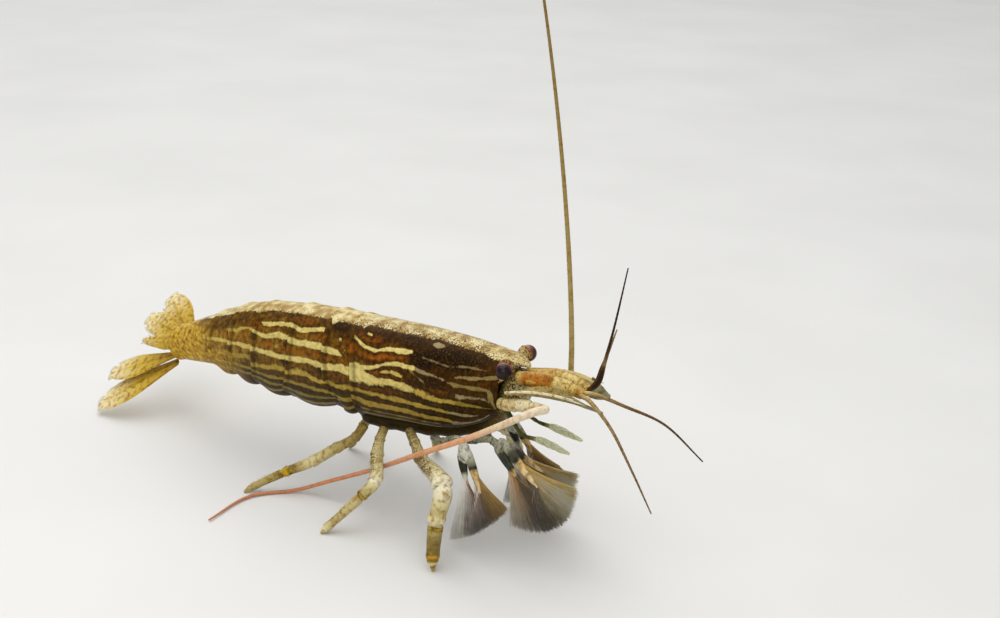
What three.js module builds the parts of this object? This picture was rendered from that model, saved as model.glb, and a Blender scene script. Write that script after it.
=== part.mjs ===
import * as THREE from "three";

// A bamboo shrimp (Atyopsis moluccensis) standing on its six walking legs, 68 mm from
// rostrum tip to telson tip. Millimetres, head toward -Y, the animal's right side toward -X, +Z up,
// feet at z = 0. The solids are closed, one body each, and stay `gap` apart where they meet.

const gap = 0.3;
const vec = (x, y, z) => new THREE.Vector3(x, y, z);
const degrees = Math.PI / 180;

// ---- driving dimensions -------------------------------------------------------------------

// Trunk profile: station along the body, top, lower edge, half width, roll in degrees.
const trunk = [
  [-11.0, 24.4, 17.7, 2.8, 0],
  [-8.0, 24.7, 15.5, 3.8, 0],
  [-4.0, 25.0, 13.7, 4.4, 0],
  [2.0, 24.9, 12.4, 4.8, 0],
  [8.0, 24.5, 11.4, 4.9, 0],
  [14.0, 24.0, 10.9, 4.8, 0],
  [20.0, 23.4, 10.2, 4.6, 1],
  [26.0, 22.5, 9.9, 4.3, 3],
  [32.0, 21.0, 10.1, 3.8, 7],
  [38.0, 18.3, 10.4, 3.1, 13],
  [43.0, 15.8, 9.9, 2.5, 20],
  [47.0, 13.9, 9.2, 2.1, 28],
];
const upperPower = 2.15; // superellipse power of the arched back
const lowerPower = 2.7; // and of the squarer flanks
const equator = 0.47; // height of the widest point between lower edge and top
const tuck = 0.13; // how far the lower edge draws in

// Plate joints behind the carapace, at mid height, and how far each bows back on the
// midline (top) and along the flank edge (hem).
const joints = [
  { at: 10.3, top: 2.0, hem: -0.2 },
  { at: 15.2, top: 0.9, hem: -2.0 },
  { at: 21.3, top: 0.4, hem: 1.6 },
  { at: 28.2, top: -0.2, hem: 0.6 },
  { at: 32.9, top: -0.3, hem: 0.6 },
  { at: 37.4, top: -0.4, hem: 0.5 },
  { at: 46.1, top: 0.1, hem: -0.4 },
];
const lobeDepth = 0.9; // rounded flaps along the flank edge of each abdominal plate
const bellyRise = 1.2; // and how far the underside is drawn in between them

// The head end turns to the animal's left: a parabola from bendStart, straight past bendEnd.
const bendStart = 2.0;
const bendEnd = -11.0;
const bendRate = 0.0058;

const carapaceFront = -9.9;
const rostrumTip = vec(0, -12.7, 23.3);
const eye = { x: 3.4, y: -10.7, z: 23.4, radius: 1.05 };
const tail = { root: vec(-0.6, 46.6, 11.5), pitch: -12, roll: 40, telson: 7.4 };
const scaleRoll = 38; // degrees

// ---- shape helpers ------------------------------------------------------------------------

// Cubic interpolation of the rows' columns at t, rows ordered by their first column.
function readTable(rows, t) {
  const last = rows.length - 1;
  let i = rows.findIndex((row) => row[0] > t) - 1;
  if (i < 0) i = t <= rows[0][0] ? 0 : last - 1;
  const a = rows[i];
  const b = rows[i + 1];
  const before = rows[Math.max(i - 1, 0)];
  const after = rows[Math.min(i + 2, last)];
  const span = b[0] - a[0];
  const f = THREE.MathUtils.clamp((t - a[0]) / span, 0, 1);
  return a.slice(1).map((p, k) => {
    const q = b[k + 1];
    const slopeA = ((q - before[k + 1]) / (b[0] - before[0])) * span;
    const slopeB = ((after[k + 1] - p) / (after[0] - a[0])) * span;
    const f2 = f * f;
    const f3 = f2 * f;
    const ends = (2 * f3 - 3 * f2 + 1) * p + (3 * f2 - 2 * f3) * q;
    return ends + (f3 - 2 * f2 + f) * slopeA + (f3 - f2) * slopeB;
  });
}

// The head-end bend of a point given beside a straight body.
function bend(p) {
  const y = Math.min(p.y, bendStart);
  const curved = Math.max(y, bendEnd);
  const slope = 2 * bendRate * (bendStart - curved);
  const shift = bendRate * (curved - bendStart) ** 2 + slope * (curved - y);
  const yaw = Math.atan(slope);
  return vec(shift + p.x * Math.cos(yaw), p.y + p.x * Math.sin(yaw), p.z);
}

const power = (value, n) => Math.sign(value) * Math.abs(value) ** (2 / n);

// A point of the trunk's skin: angle 0 is the midline of the back, 180 the belly.
function trunkPoint(y, angle, swell = 0) {
  const [top, low, half, roll] = readTable(trunk, y);
  const middle = low + equator * (top - low);
  const s = Math.sin(angle);
  const c = Math.cos(angle);
  const n = c > 0 ? upperPower : lowerPower;
  const rise = c > 0 ? top - middle : middle - low;
  const x = (half + swell) * power(s, n) * (1 - tuck * Math.max(0, -c) ** 2);
  const z = (rise + swell) * power(c, n);
  const turn = roll * degrees;
  const dx = x * Math.cos(turn) - z * Math.sin(turn);
  const dz = x * Math.sin(turn) + z * Math.cos(turn);
  return bend(vec(dx, y, middle + dz));
}

// How far along the body a plate joint lies at an angle round the trunk.
function jointAt(joint, angle) {
  const back = Math.max(0, Math.cos(angle)) ** 2;
  const hem = Math.exp(-(((Math.abs(angle) / degrees - 128) / 26) ** 2));
  return joint.at + joint.top * back + joint.hem * hem;
}

// Closed solid through rings that run out along one side of a sheet and back along the other.
// Each end closes with a strip from side to side.
function sheetLoft(rings) {
  const n = rings[0].length;
  const points = rings.flat();
  const faces = [];
  const end = (rings.length - 1) * n;
  for (let i = 0; i < rings.length - 1; i++) {
    for (let j = 0; j < n; j++) {
      const a = i * n + j;
      const b = i * n + ((j + 1) % n);
      faces.push(a, b, b + n);
      faces.push(a, b + n, a + n);
    }
  }
  for (let j = 0; j < n / 2 - 1; j++) {
    const back = n - 1 - j;
    faces.push(back - 1, j + 1, j, back, back - 1, j);
    faces.push(end + j, end + j + 1, end + back - 1, end + j, end + back - 1, end + back);
  }
  return outward(points, faces);
}

// Closed solid through rings of equal length. Each end closes on a point or on a ring's middle.
function loft(rings, startTip, endTip) {
  const n = rings[0].length;
  const middle = (ring) => ring.reduce((sum, p) => sum.add(p), vec(0, 0, 0)).divideScalar(n);
  const points = rings.flat();
  const first = points.push(startTip ?? middle(rings[0])) - 1;
  const last = points.push(endTip ?? middle(rings.at(-1))) - 1;
  const faces = [];
  const end = (rings.length - 1) * n;
  for (let j = 0; j < n; j++) {
    const k = (j + 1) % n;
    faces.push(first, k, j);
    faces.push(last, end + j, end + k);
    for (let i = 0; i < rings.length - 1; i++) {
      const a = i * n;
      const b = a + n;
      faces.push(a + j, a + k, b + k);
      faces.push(a + j, b + k, b + j);
    }
  }
  return outward(points, faces);
}

// Geometry from points and triangles, with the faces turned out if they point in.
function outward(points, faces) {
  let volume = 0;
  const cross = vec(0, 0, 0);
  for (let i = 0; i < faces.length; i += 3) {
    cross.crossVectors(points[faces[i + 1]], points[faces[i + 2]]);
    volume += points[faces[i]].dot(cross);
  }
  if (volume < 0) faces.reverse();
  const geometry = new THREE.BufferGeometry().setFromPoints(points);
  geometry.setIndex(faces);
  geometry.computeVertexNormals();
  return geometry;
}

// Round or oval limb along a smooth centre line. radii has one entry per point, either a
// number or [side, up]; `up` points away from the limb's flat side; floor keeps it above 0.
function limb(points, radii, options = {}) {
  const { sides = 8, steps = 12, up = vec(0, 0, 1), floor = false } = options;
  const curve = new THREE.CatmullRomCurve3(points, false, "centripetal");
  const pairs = radii.map((r) => (Array.isArray(r) ? r : [r, r]));
  const radiusAt = (t) => {
    const s = Math.min(t * (pairs.length - 1), pairs.length - 1.0001);
    const i = Math.floor(s);
    return [0, 1].map((k) => THREE.MathUtils.lerp(pairs[i][k], pairs[i + 1][k], s - i));
  };
  const ringAt = (t, scale, push) => {
    const centre = curve.getPoint(t);
    const along = curve.getTangent(t);
    const side = along.clone().cross(up).normalize();
    const rise = side.clone().cross(along).normalize();
    const [a, b] = radiusAt(t);
    centre.addScaledVector(along, push * Math.min(a, b));
    return Array.from({ length: sides }, (_, j) => {
      const angle = ((j + 0.5) / sides) * 2 * Math.PI;
      const p = centre.clone().addScaledVector(side, a * scale * Math.cos(angle));
      p.addScaledVector(rise, b * scale * Math.sin(angle));
      if (floor) p.z = Math.max(p.z, 0);
      return p;
    });
  };
  const rings = [ringAt(0, 0.62, -0.38)];
  for (let i = 0; i <= steps; i++) rings.push(ringAt(i / steps, 1, 0));
  rings.push(ringAt(1, 0.62, 0.38));
  return loft(rings);
}

// Thin blade: an outline of half widths along a line, with a rounded edge.
function blade(root, tip, widths, options = {}) {
  const { thick = 0.3, side = vec(1, 0, 0), lean = 0, sides = 10, droop = 0 } = options;
  const along = tip.clone().sub(root);
  const length = along.length();
  along.normalize();
  const across = side.clone().addScaledVector(along, -side.dot(along)).normalize();
  const face = across.clone().cross(along).normalize();
  const rings = widths.map((half, i) => {
    const t = i / (widths.length - 1);
    const centre = root.clone().addScaledVector(along, t * length);
    centre.addScaledVector(across, lean * Math.sin(t * Math.PI));
    centre.z -= droop * t * t;
    const thin = thick * Math.min(1, 0.75 + half / 8);
    return Array.from({ length: sides }, (_, j) => {
      const angle = ((j + 0.5) / sides) * 2 * Math.PI;
      const p = centre.clone().addScaledVector(across, half * power(Math.cos(angle), 2.4));
      return p.addScaledVector(face, thin * power(Math.sin(angle), 2.4));
    });
  });
  return loft(rings);
}

const mirror = (p) => vec(-p.x, p.y, p.z);

// ---- assembly -----------------------------------------------------------------------------

const shrimp = new THREE.Group();
shrimp.name = "bamboo_shrimp";

function add(name, geometry, colour, roughness = 0.45) {
  const material = new THREE.MeshStandardMaterial({ color: colour, roughness, metalness: 0 });
  const mesh = new THREE.Mesh(geometry, material);
  mesh.name = name;
  shrimp.add(mesh);
}

const shellTan = "#a8793c";
const shellDark = "#5a3a1c";
const gold = "#b98f3c";
const cream = "#d8c48c";
const legAmber = "#b9a56a";
const chelaGrey = "#b8b09a";
const brushTan = "#b9965e";
const salmon = "#d69a70";
const feelerBrown = "#8a6640";
const eyeDark = "#2a1620";

// Carapace with its short downturned rostrum: trunk rings, then a front wall that rises
// from the lower edge to the roof of the rostrum.
function carapaceSolid() {
  const count = 26;
  const angles = Array.from({ length: count }, (_, j) => ((j + 0.5) / count) * 2 * Math.PI - Math.PI);
  const rings = [];
  for (const t of [1, 0.96, 0.86, 0.72, 0.56, 0.4, 0.26, 0.14, 0.05, 0]) {
    rings.push(
      angles.map((angle) => {
        const rear = jointAt(joints[0], angle) - gap / 2;
        const front = carapaceFront + 0.35 * Math.max(0, Math.cos(angle));
        const flare = t > 0.95 ? 0.12 : 0;
        return trunkPoint(THREE.MathUtils.lerp(front, rear, t), angle, flare);
      })
    );
  }
  const roof = [
    [-10.15, 2.3, 24.35, 23.2],
    [-10.9, 1.65, 24.3, 23.3],
    [-11.9, 0.9, 23.95, 23.1],
    [-12.45, 0.4, 23.65, 23.1],
  ];
  for (const [y, half, top, low] of roof) {
    rings.push(
      angles.map((angle) => {
        const z = (top + low) / 2 + ((top - low) / 2) * Math.cos(angle);
        return bend(vec(half * Math.sin(angle), y, z));
      })
    );
  }
  return loft(rings, undefined, bend(rostrumTip));
}
add("carapace", carapaceSolid(), shellDark, 0.35);

// One abdominal plate between two joints; the flanks hang in rounded lobes.
function plateSolid(index) {
  const count = 24;
  const front = joints[index - 1];
  const rear = joints[index];
  const flap = index === 6 ? 0.1 : lobeDepth;
  const rings = [];
  for (const t of [0, 0.07, 0.28, 0.52, 0.76, 0.94, 1]) {
    const ring = Array.from({ length: count }, (_, j) => {
      const angle = ((j + 0.5) / count) * 2 * Math.PI - Math.PI;
      const from = jointAt(front, angle) + gap / 2;
      const to = jointAt(rear, angle) - gap / 2;
      const swell = 0.14 * t - (t === 0 ? 0.15 : 0);
      const p = trunkPoint(THREE.MathUtils.lerp(from, to, t), angle, swell);
      const hem = Math.exp(-(((Math.abs(angle) / degrees - 138) / 20) ** 2));
      p.z -= flap * hem * (Math.sin(t * Math.PI) - 0.35);
      p.z += bellyRise * THREE.MathUtils.smoothstep(Math.abs(angle) / degrees, 150, 168);
      return p;
    });
    rings.push(ring);
  }
  return loft(rings);
}
const plateColours = [shellDark, shellTan, shellTan, shellTan, shellTan, gold];
plateColours.forEach((colour, i) => add(`abdomen_${i + 1}`, plateSolid(i + 1), colour, 0.35));

// Tail fan: the telson and two blades a side on one plane, rolled left side up.
const tailAlong = vec(0, Math.cos(tail.pitch * degrees), Math.sin(tail.pitch * degrees));
const tailSide = vec(Math.cos(tail.roll * degrees), 0, Math.sin(tail.roll * degrees));
const tailUp = tailSide.clone().cross(tailAlong).normalize();
function tailPoint(side, along, up) {
  const p = tail.root.clone().addScaledVector(tailSide, side);
  return p.addScaledVector(tailAlong, along).addScaledVector(tailUp, up);
}
const telsonWidths = [1.3, 1.5, 1.35, 1.1, 0.9, 0.6];
const telsonBlade = { thick: 0.65, side: tailSide };
add("telson", blade(tailPoint(0, 0, 0.5), tailPoint(0, tail.telson, 0.2), telsonWidths, telsonBlade), gold);
for (const [word, sign] of [["right", -1], ["left", 1]]) {
  for (const fin of [
    { name: "inner", spread: [20, 17], root: 1.5, length: 12.2, drop: -0.75, wide: 1.95 },
    { name: "outer", spread: [39, 34], root: 2.1, length: 13.8, drop: -1.75, wide: 2.3 },
  ]) {
    const turn = fin.spread[sign < 0 ? 0 : 1] * degrees;
    const start = tailPoint(sign * fin.root, 0.1, fin.drop);
    const tipSide = sign * (fin.root + fin.length * Math.sin(turn));
    const tip = tailPoint(tipSide, 0.1 + fin.length * Math.cos(turn), fin.drop - 0.2);
    const widths = [0.3, 0.5, 0.75, 0.98, 1, 0.78, 0.34].map((w) => w * fin.wide);
    const options = { thick: 0.3, side: tailSide.clone().multiplyScalar(sign) };
    add(`uropod_${fin.name}_${word}`, blade(start, tip, widths, options), gold);
  }
}

// Head: the block that carries the antennae and mouth, inside the carapace's front opening.
function headSolid() {
  const rings = [
    [-10.55, 2.5, 22.6, 17.6],
    [-11.1, 2.7, 22.5, 17.3],
    [-11.7, 2.4, 22.4, 17.4],
    [-12.2, 1.9, 22.2, 18.0],
  ].map(([y, half, top, low]) =>
    Array.from({ length: 14 }, (_, j) => {
      const angle = ((j + 0.5) / 14) * 2 * Math.PI;
      const z = (top + low) / 2 + ((top - low) / 2) * power(Math.cos(angle), 2.6);
      return bend(vec(half * power(Math.sin(angle), 2.6), y, z));
    })
  );
  return loft(rings);
}
add("head", headSolid(), gold);

// Breast plate under the carapace, which carries the feeding arms and the walking legs.
function thoraxSolid() {
  const rings = [-7.2, -5.5, -1, 4, 9, 11.6].map((y, i) => {
    const [, low] = readTable(trunk, y);
    const half = [1.5, 2.1, 2.4, 2.45, 2.45, 1.7][i];
    const deep = i === 0 || i === 5 ? 0.45 : 0.65;
    return Array.from({ length: 12 }, (_, j) => {
      const angle = ((j + 0.5) / 12) * 2 * Math.PI;
      const z = low - gap - 0.65 + deep * power(Math.cos(angle), 2.6);
      return bend(vec(half * power(Math.sin(angle), 2.6), y, z));
    });
  });
  return loft(rings);
}
add("thorax", thoraxSolid(), gold);

const sides = [
  ["right", -1],
  ["left", 1],
];
for (const [word, sign] of sides) {
  const at = (x, y, z) => bend(vec(sign * x, y, z));

  // Eye on its short stalk.
  const ball = new THREE.SphereGeometry(eye.radius, 12, 9);
  const centre = at(eye.x, eye.y, eye.z);
  add(`eye_${word}`, ball.translate(centre.x, centre.y, centre.z), eyeDark, 0.12);
  const stalk = [at(1.6, -11.45, 22.85), at(2.05, -11.1, 23.1)];
  add(`eyestalk_${word}`, limb(stalk, [0.28, 0.3], { sides: 8, steps: 2 }), cream);

  // Antennule: a three-part peduncle and two whips.
  const lift = sign > 0 ? -0.45 : 0;
  const peduncle = [
    at(1.35, -13.0, 22.2 + lift),
    at(1.4, -15.2, 22.35 + lift),
    at(1.35, -17.6, 22.3 + lift),
    at(1.35, -19.9, 21.75 + lift),
  ];
  add(`antennule_${word}`, limb(peduncle, [1.0, 1.02, 0.85, 0.62], { steps: 8 }), cream);

  // Antennal scale, a long leaf with a straight outer edge, and the antenna's own peduncle.
  // Its outer edge stands higher than the inner one.
  const rolled = vec(Math.cos(scaleRoll * degrees), 0, sign * Math.sin(scaleRoll * degrees));
  const scale = { thick: 0.3, side: rolled, lean: -0.25 * sign, droop: 3.0 };
  const scaleWidths = [0.6, 0.95, 1.2, 1.35, 1.45, 1.4, 1.1, 0.45];
  const scaleTip = sign < 0 ? at(3.2, -23.1, 23.9) : at(2.5, -21.8, 23.4);
  add(`scale_${word}`, blade(at(3.75, -11.4, 20.85), scaleTip, scaleWidths, scale), cream);
  const stem = [at(3.6, -11.2, 19.3), at(4.1, -13.6, 19.9), at(4.9, -16.7, 20.5)];
  add(`antenna_base_${word}`, limb(stem, [0.8, 0.78, 0.55], { steps: 5 }), cream);

  // Third maxilliped: a thin arm that ends in a dense brush.
  const raise = sign > 0 ? 0.1 : 0;
  const feeder = [
    at(1.6, -11.1, 16.75),
    at(2.1, -12.9, 15.2 + raise),
    at(2.0, -15.4, 14.9 + raise),
    at(2.0, -19.0, 14.1 + raise),
  ];
  add(`maxilliped_${word}`, limb(feeder, [0.45, 0.5, 0.62, 0.42], { sides: 8, steps: 8 }), gold);
}

// Whips of the antennules, outer and inner on each side.
const whip = { sides: 6, steps: 7 };
const whips = {
  outer_right: [[-1.3, -22.6, 22.3], [-2.3, -26.0, 20.4], [-2.3, -29.1, 16.1], [-2.3, -32.1, 11.5]],
  inner_right: [[0.5, -22.1, 22.5], [0.6, -26.1, 22.1], [0.5, -31.4, 21.4], [0.3, -36.6, 18.5]],
  outer_left: [[3.6, -20.5, 22.6], [3.7, -21.0, 24.6], [3.9, -21.6, 26.6], [4.1, -22.4, 29.6]],
  inner_left: [[2.6, -21.3, 23.2], [2.7, -21.9, 25.9], [2.9, -22.7, 30.4], [3.1, -23.8, 37.7]],
};
for (const [name, points] of Object.entries(whips)) {
  const line = points.map((p) => vec(...p));
  add(`flagellum_${name}`, limb(line, [0.34, 0.3, 0.25, 0.2], whip), feelerBrown);
}

// Antennae: the right one folds back along the body and trails on the floor, the left one
// stands up and out.
const antennaRight = [
  [-4.3, -18.3, 21.1],
  [-5.5, -17.6, 21.0],
  [-6.3, -15.7, 19.8],
  [-7.2, -10.3, 16.3],
  [-8.3, -3.2, 12.2],
  [-5.2, 6.4, 5.9],
  [-6.6, 12.9, 2.6],
  [-7.9, 17.2, 0.5],
  [-12.6, 20.9, 0.28],
  [-20.4, 20.4, 0.28],
];
const antennaLeft = [
  [6.7, -15.0, 21.7],
  [6.8, -14.8, 25.0],
  [7.0, -13.9, 33.0],
  [7.8, -12.0, 43.0],
  [8.8, -9.4, 54.0],
  [9.8, -6.6, 64.0],
  [10.8, -3.4, 74.0],
];
for (const [name, points] of [["right", antennaRight], ["left", antennaLeft]]) {
  const line = points.map((p) => vec(...p));
  const radii = line.map((_, i) => THREE.MathUtils.lerp(0.46, 0.25, i / (line.length - 1)));
  const options = { sides: 6, steps: 19, up: vec(1, 0.2, 0), floor: name === "right" };
  add(`antenna_${name}`, limb(line, radii, options), salmon);
}

// Feeding arms: a thin arm, a hand with two fingers and the brush the fingers carry. Each
// entry gives the right-hand side; the left mirrors it with its own small turn.
const arms = [
  {
    name: "first",
    arm: [[3.3, -5.0, 12.9], [3.9, -8.0, 13.9], [4.3, -10.4, 15.0], [4.6, -11.8, 15.2]],
    palm: [[4.75, -12.6, 15.1], [5.4, -14.3, 14.5]],
    fingers: [[6.0, -16.1, 12.3], [6.5, -19.3, 12.3]],
    brush: [[6.2, -15.9, 5.9], [6.6, -23.6, 5.6], [6.9, -25.0, 14.1]],
  },
  {
    name: "second",
    arm: [[3.2, -1.6, 12.1], [4.2, -3.6, 12.6], [4.9, -5.6, 13.7], [5.2, -6.6, 14.2]],
    palm: [[5.4, -7.7, 14.3], [5.8, -8.5, 12.2]],
    fingers: [[6.3, -9.0, 9.6], [6.5, -11.4, 9.0]],
    brush: [[6.3, -7.0, 1.0], [6.6, -11.2, 2.6], [6.8, -15.5, 8.2]],
  },
];
const leftTurn = { first: vec(-0.7, 5.7, -5.2), second: vec(0.2, 0.8, -0.5) };
const leftFan = { first: 0.74, second: 1 }; // how far the left brushes open against the right

// Hand: a short palm that splits into two fingers, lofted as one fork-shaped solid.
function handSolid(palm, tips) {
  const root = palm[0];
  const knuckle = palm[1];
  const spread = tips[1].clone().sub(tips[0]);
  const middle = tips[0].clone().add(tips[1]).multiplyScalar(0.5);
  const along = middle.clone().sub(root).normalize();
  const side = spread.clone().addScaledVector(along, -spread.dot(along)).normalize();
  const face = side.clone().cross(along).normalize();
  const rings = [];
  const ring = (centre, a, b) =>
    Array.from({ length: 10 }, (_, j) => {
      const angle = ((j + 0.5) / 10) * 2 * Math.PI;
      const p = centre.clone().addScaledVector(side, a * Math.cos(angle));
      return p.addScaledVector(face, b * Math.sin(angle));
    });
  rings.push(ring(root, 0.5, 0.45));
  rings.push(ring(root.clone().lerp(knuckle, 0.45), 0.85, 0.7));
  rings.push(ring(knuckle, 1.15, 0.72));
  rings.push(ring(knuckle.clone().lerp(middle, 0.5), 1.25, 0.5));
  rings.push(ring(knuckle.clone().lerp(middle, 0.9), 0.5 * spread.length() + 0.1, 0.3));
  return loft(rings);
}

// Brush: a fan of bristles as one curved sheet from the finger tips to its open edge.
function brushSolid(tips, edge) {
  const curve = new THREE.QuadraticBezierCurve3(edge[0], edge[1], edge[2]);
  const across = 7;
  const steps = [0, 0.3, 0.65, 1];
  const rings = steps.map((t) => {
    const front = [];
    const back = [];
    for (let i = 0; i < across; i++) {
      const u = i / (across - 1);
      const from = tips[0].clone().lerp(tips[1], u);
      const to = curve.getPoint(u);
      const p = from.clone().lerp(to, 0.3 + 0.7 * t);
      const bulge = 0.5 * Math.sin(Math.PI * u) * t;
      front.push(vec(p.x + bulge + 0.28, p.y, p.z));
      back.unshift(vec(p.x + bulge - 0.28, p.y, p.z));
    }
    return [...front, ...back];
  });
  return sheetLoft(rings);
}

const armFollow = [0, 0.5, 0.85, 1]; // how far each point of a left arm follows its hand's turn
for (const part of arms) {
  for (const [word, sign] of sides) {
    const turn = sign > 0 ? leftTurn[part.name] : vec(0, 0, 0);
    const place = (reach) => (p) => {
      const moved = vec(...p).addScaledVector(turn, reach);
      return sign < 0 ? mirror(moved) : moved;
    };
    const arm = part.arm.map((p, i) => place(armFollow[i])(p));
    const palm = part.palm.map(place(1));
    const fingers = part.fingers.map(place(1));
    const edge = part.brush.map(place(1));
    const wrist = fingers[0].clone().lerp(fingers[1], 0.5);
    if (sign > 0) edge.forEach((p) => p.lerp(wrist, 1 - leftFan[part.name]));
    const label = `${part.name}_${word}`;
    add(`arm_${label}`, limb(arm, [0.55, 0.6, 0.6, 0.5], { sides: 8, steps: 5 }), chelaGrey);
    add(`hand_${label}`, handSolid(palm, fingers), chelaGrey, 0.3);
    add(`brush_${label}`, brushSolid(fingers, edge), brushTan, 0.7);
  }
}

// Walking legs: hip, knee ... claw, given on the right side for each leg, and on the left.
const legs = {
  third_right: [
    [-3.3, 2.0, 11.9],
    [-5.0, -0.2, 11.5],
    [-6.7, -2.5, 10.8],
    [-9.4, -7.9, 9.8],
    [-11.0, -8.2, 5.8],
    [-12.0, -8.6, 1.5],
    [-12.3, -8.9, 0.2],
  ],
  fourth_right: [
    [-3.3, 6.2, 11.0],
    [-4.6, 5.8, 10.0],
    [-6.2, 4.9, 8.7],
    [-8.5, 3.2, 6.7],
    [-10.0, 4.3, 4.7],
    [-13.3, 7.1, 0.7],
    [-13.9, 7.4, 0.2],
  ],
  fifth_right: [
    [-3.3, 9.4, 10.5],
    [-4.3, 10.2, 8.9],
    [-5.4, 12.6, 7.0],
    [-6.8, 15.5, 4.7],
    [-8.6, 18.6, 2.9],
    [-11.2, 21.9, 0.7],
    [-12.0, 22.5, 0.2],
  ],
  third_left: [
    [3.3, 2.0, 11.9],
    [5.0, 0.4, 11.3],
    [6.7, -0.8, 10.9],
    [9.4, -4.6, 9.9],
    [11.0, -4.6, 6.0],
    [12.2, -4.4, 1.5],
    [12.5, -4.8, 0.2],
  ],
  fourth_left: [
    [3.3, 6.2, 11.0],
    [4.7, 6.2, 10.3],
    [6.6, 6.4, 9.5],
    [9.4, 7.2, 8.0],
    [11.2, 8.8, 5.0],
    [13.4, 10.2, 0.8],
    [13.9, 10.4, 0.2],
  ],
  fifth_left: [
    [3.3, 9.4, 10.5],
    [4.6, 10.8, 9.8],
    [5.7, 13.2, 8.8],
    [6.6, 16.2, 6.6],
    [7.0, 18.4, 4.0],
    [7.0, 20.2, 0.8],
    [6.9, 20.6, 0.2],
  ],
};
const stoutness = {
  third: [0.6, 0.62, 0.85, 1.15, 1.0, 0.74, 0.3],
  fourth: [0.6, 0.65, 0.8, 0.8, 0.68, 0.48, 0.26],
  fifth: [0.6, 0.62, 0.7, 0.7, 0.6, 0.44, 0.26],
};
for (const [name, points] of Object.entries(legs)) {
  const line = points.map((p) => vec(...p));
  const radii = stoutness[name.split("_")[0]];
  const options = { sides: 8, steps: 14, up: vec(0, 0.3, 1), floor: true };
  add(`leg_${name}`, limb(line, radii, options), legAmber);
}

// Swimmerets: five pairs of small paddles folded under the abdomen, tilted with it.
function underBelly(x, y, below) {
  const [top, low, , roll] = readTable(trunk, y);
  const middle = low + equator * (top - low);
  const z = low + bellyRise - below - middle;
  const turn = roll * degrees;
  const dx = x * Math.cos(turn) - z * Math.sin(turn);
  return vec(dx, y, middle + x * Math.sin(turn) + z * Math.cos(turn));
}
for (let i = 1; i <= 5; i++) {
  const y = joints[i - 1].at + 2.2;
  const back = y + 3.4 - i * 0.25;
  for (const [word, sign] of sides) {
    const root = underBelly(sign * 1.0, y, 0.75 + 0.08 * i);
    const tip = underBelly(sign * 1.0, back, 0.85 + 0.08 * i);
    const widths = [0.4, 0.58, 0.6, 0.4];
    const [, , , roll] = readTable(trunk, y);
    const level = vec(Math.cos(roll * degrees), 0, Math.sin(roll * degrees));
    const options = { thick: 0.25, sides: 6, side: level };
    add(`swimmeret_${i}_${word}`, blade(root, tip, widths, options), cream);
  }
}

// The origin sits under the middle of the whole animal, at floor height.
const box = new THREE.Box3().setFromObject(shrimp);
const middle = box.getCenter(vec(0, 0, 0));
for (const mesh of shrimp.children) mesh.geometry.translate(-middle.x, -middle.y, -box.min.z);

export default shrimp;
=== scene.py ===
# The looks of a bamboo shrimp (Atyopsis moluccensis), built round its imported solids.
# Lengths in the tables are millimetres beside a straight animal, head toward -Y and its right
# side toward -X. place() bends them to the pose and turns them into the frame's metres.
from functools import partial
from math import atan, copysign, cos, exp, pi, radians, sin, sqrt

import bmesh
import bpy
import numpy as np
from mathutils import Matrix, Quaternion, Vector


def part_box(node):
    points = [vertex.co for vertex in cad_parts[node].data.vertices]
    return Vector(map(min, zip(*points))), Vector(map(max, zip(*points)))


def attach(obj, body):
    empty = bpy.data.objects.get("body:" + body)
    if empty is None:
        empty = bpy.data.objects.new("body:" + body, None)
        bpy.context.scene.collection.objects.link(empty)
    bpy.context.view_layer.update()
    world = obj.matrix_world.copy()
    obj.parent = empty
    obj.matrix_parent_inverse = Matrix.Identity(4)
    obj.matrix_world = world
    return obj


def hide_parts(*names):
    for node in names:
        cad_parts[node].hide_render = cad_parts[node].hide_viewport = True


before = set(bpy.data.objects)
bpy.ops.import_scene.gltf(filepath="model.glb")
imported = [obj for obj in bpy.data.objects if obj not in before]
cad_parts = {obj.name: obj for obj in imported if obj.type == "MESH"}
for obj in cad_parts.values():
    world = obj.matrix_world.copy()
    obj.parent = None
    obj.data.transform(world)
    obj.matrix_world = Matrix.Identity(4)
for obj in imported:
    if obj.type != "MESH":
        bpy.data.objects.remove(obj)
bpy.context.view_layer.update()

mm = 0.001
floorGap = 0.00002  # metres that bristles keep above the floor, and the stage below it
rng = np.random.default_rng(7)
sides = (("right", -1), ("left", 1))

# along the body, top, lower edge, half width, roll in degrees
trunk = [
    (-11.0, 24.4, 17.7, 2.8, 0),
    (-8.0, 24.7, 15.5, 3.8, 0),
    (-4.0, 25.0, 13.7, 4.4, 0),
    (2.0, 24.9, 12.4, 4.8, 0),
    (8.0, 24.5, 11.4, 4.9, 0),
    (14.0, 24.0, 10.9, 4.8, 0),
    (20.0, 23.4, 10.2, 4.6, 1),
    (26.0, 22.5, 9.9, 4.3, 3),
    (32.0, 21.0, 10.1, 3.8, 7),
    (38.0, 18.3, 10.4, 3.1, 13),
    (43.0, 15.8, 9.9, 2.5, 20),
    (47.0, 13.9, 9.2, 2.1, 28),
]
section = {"upperPower": 2.15, "lowerPower": 2.7, "equator": 0.47, "tuck": 0.13}
hem = {"degrees": 128, "half": 26}  # where the flanks' lower edge lies, round from the back
turnOfHead = {"start": 2.0, "end": -11.0, "rate": 0.0058}  # a parabola, then straight
eyeBall = {"x": 3.4, "y": -10.7, "z": 23.4, "radius": 1.05}

# plate joints at mid height, and how far each bows back on the midline and along the hem
joints = [
    (10.3, 2.0, -0.2),
    (15.2, 0.9, -2.0),
    (21.3, 0.4, 1.6),
    (28.2, -0.2, 0.6),
    (32.9, -0.3, 0.6),
    (37.4, -0.4, 0.5),
    (46.1, 0.1, -0.4),
]


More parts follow.
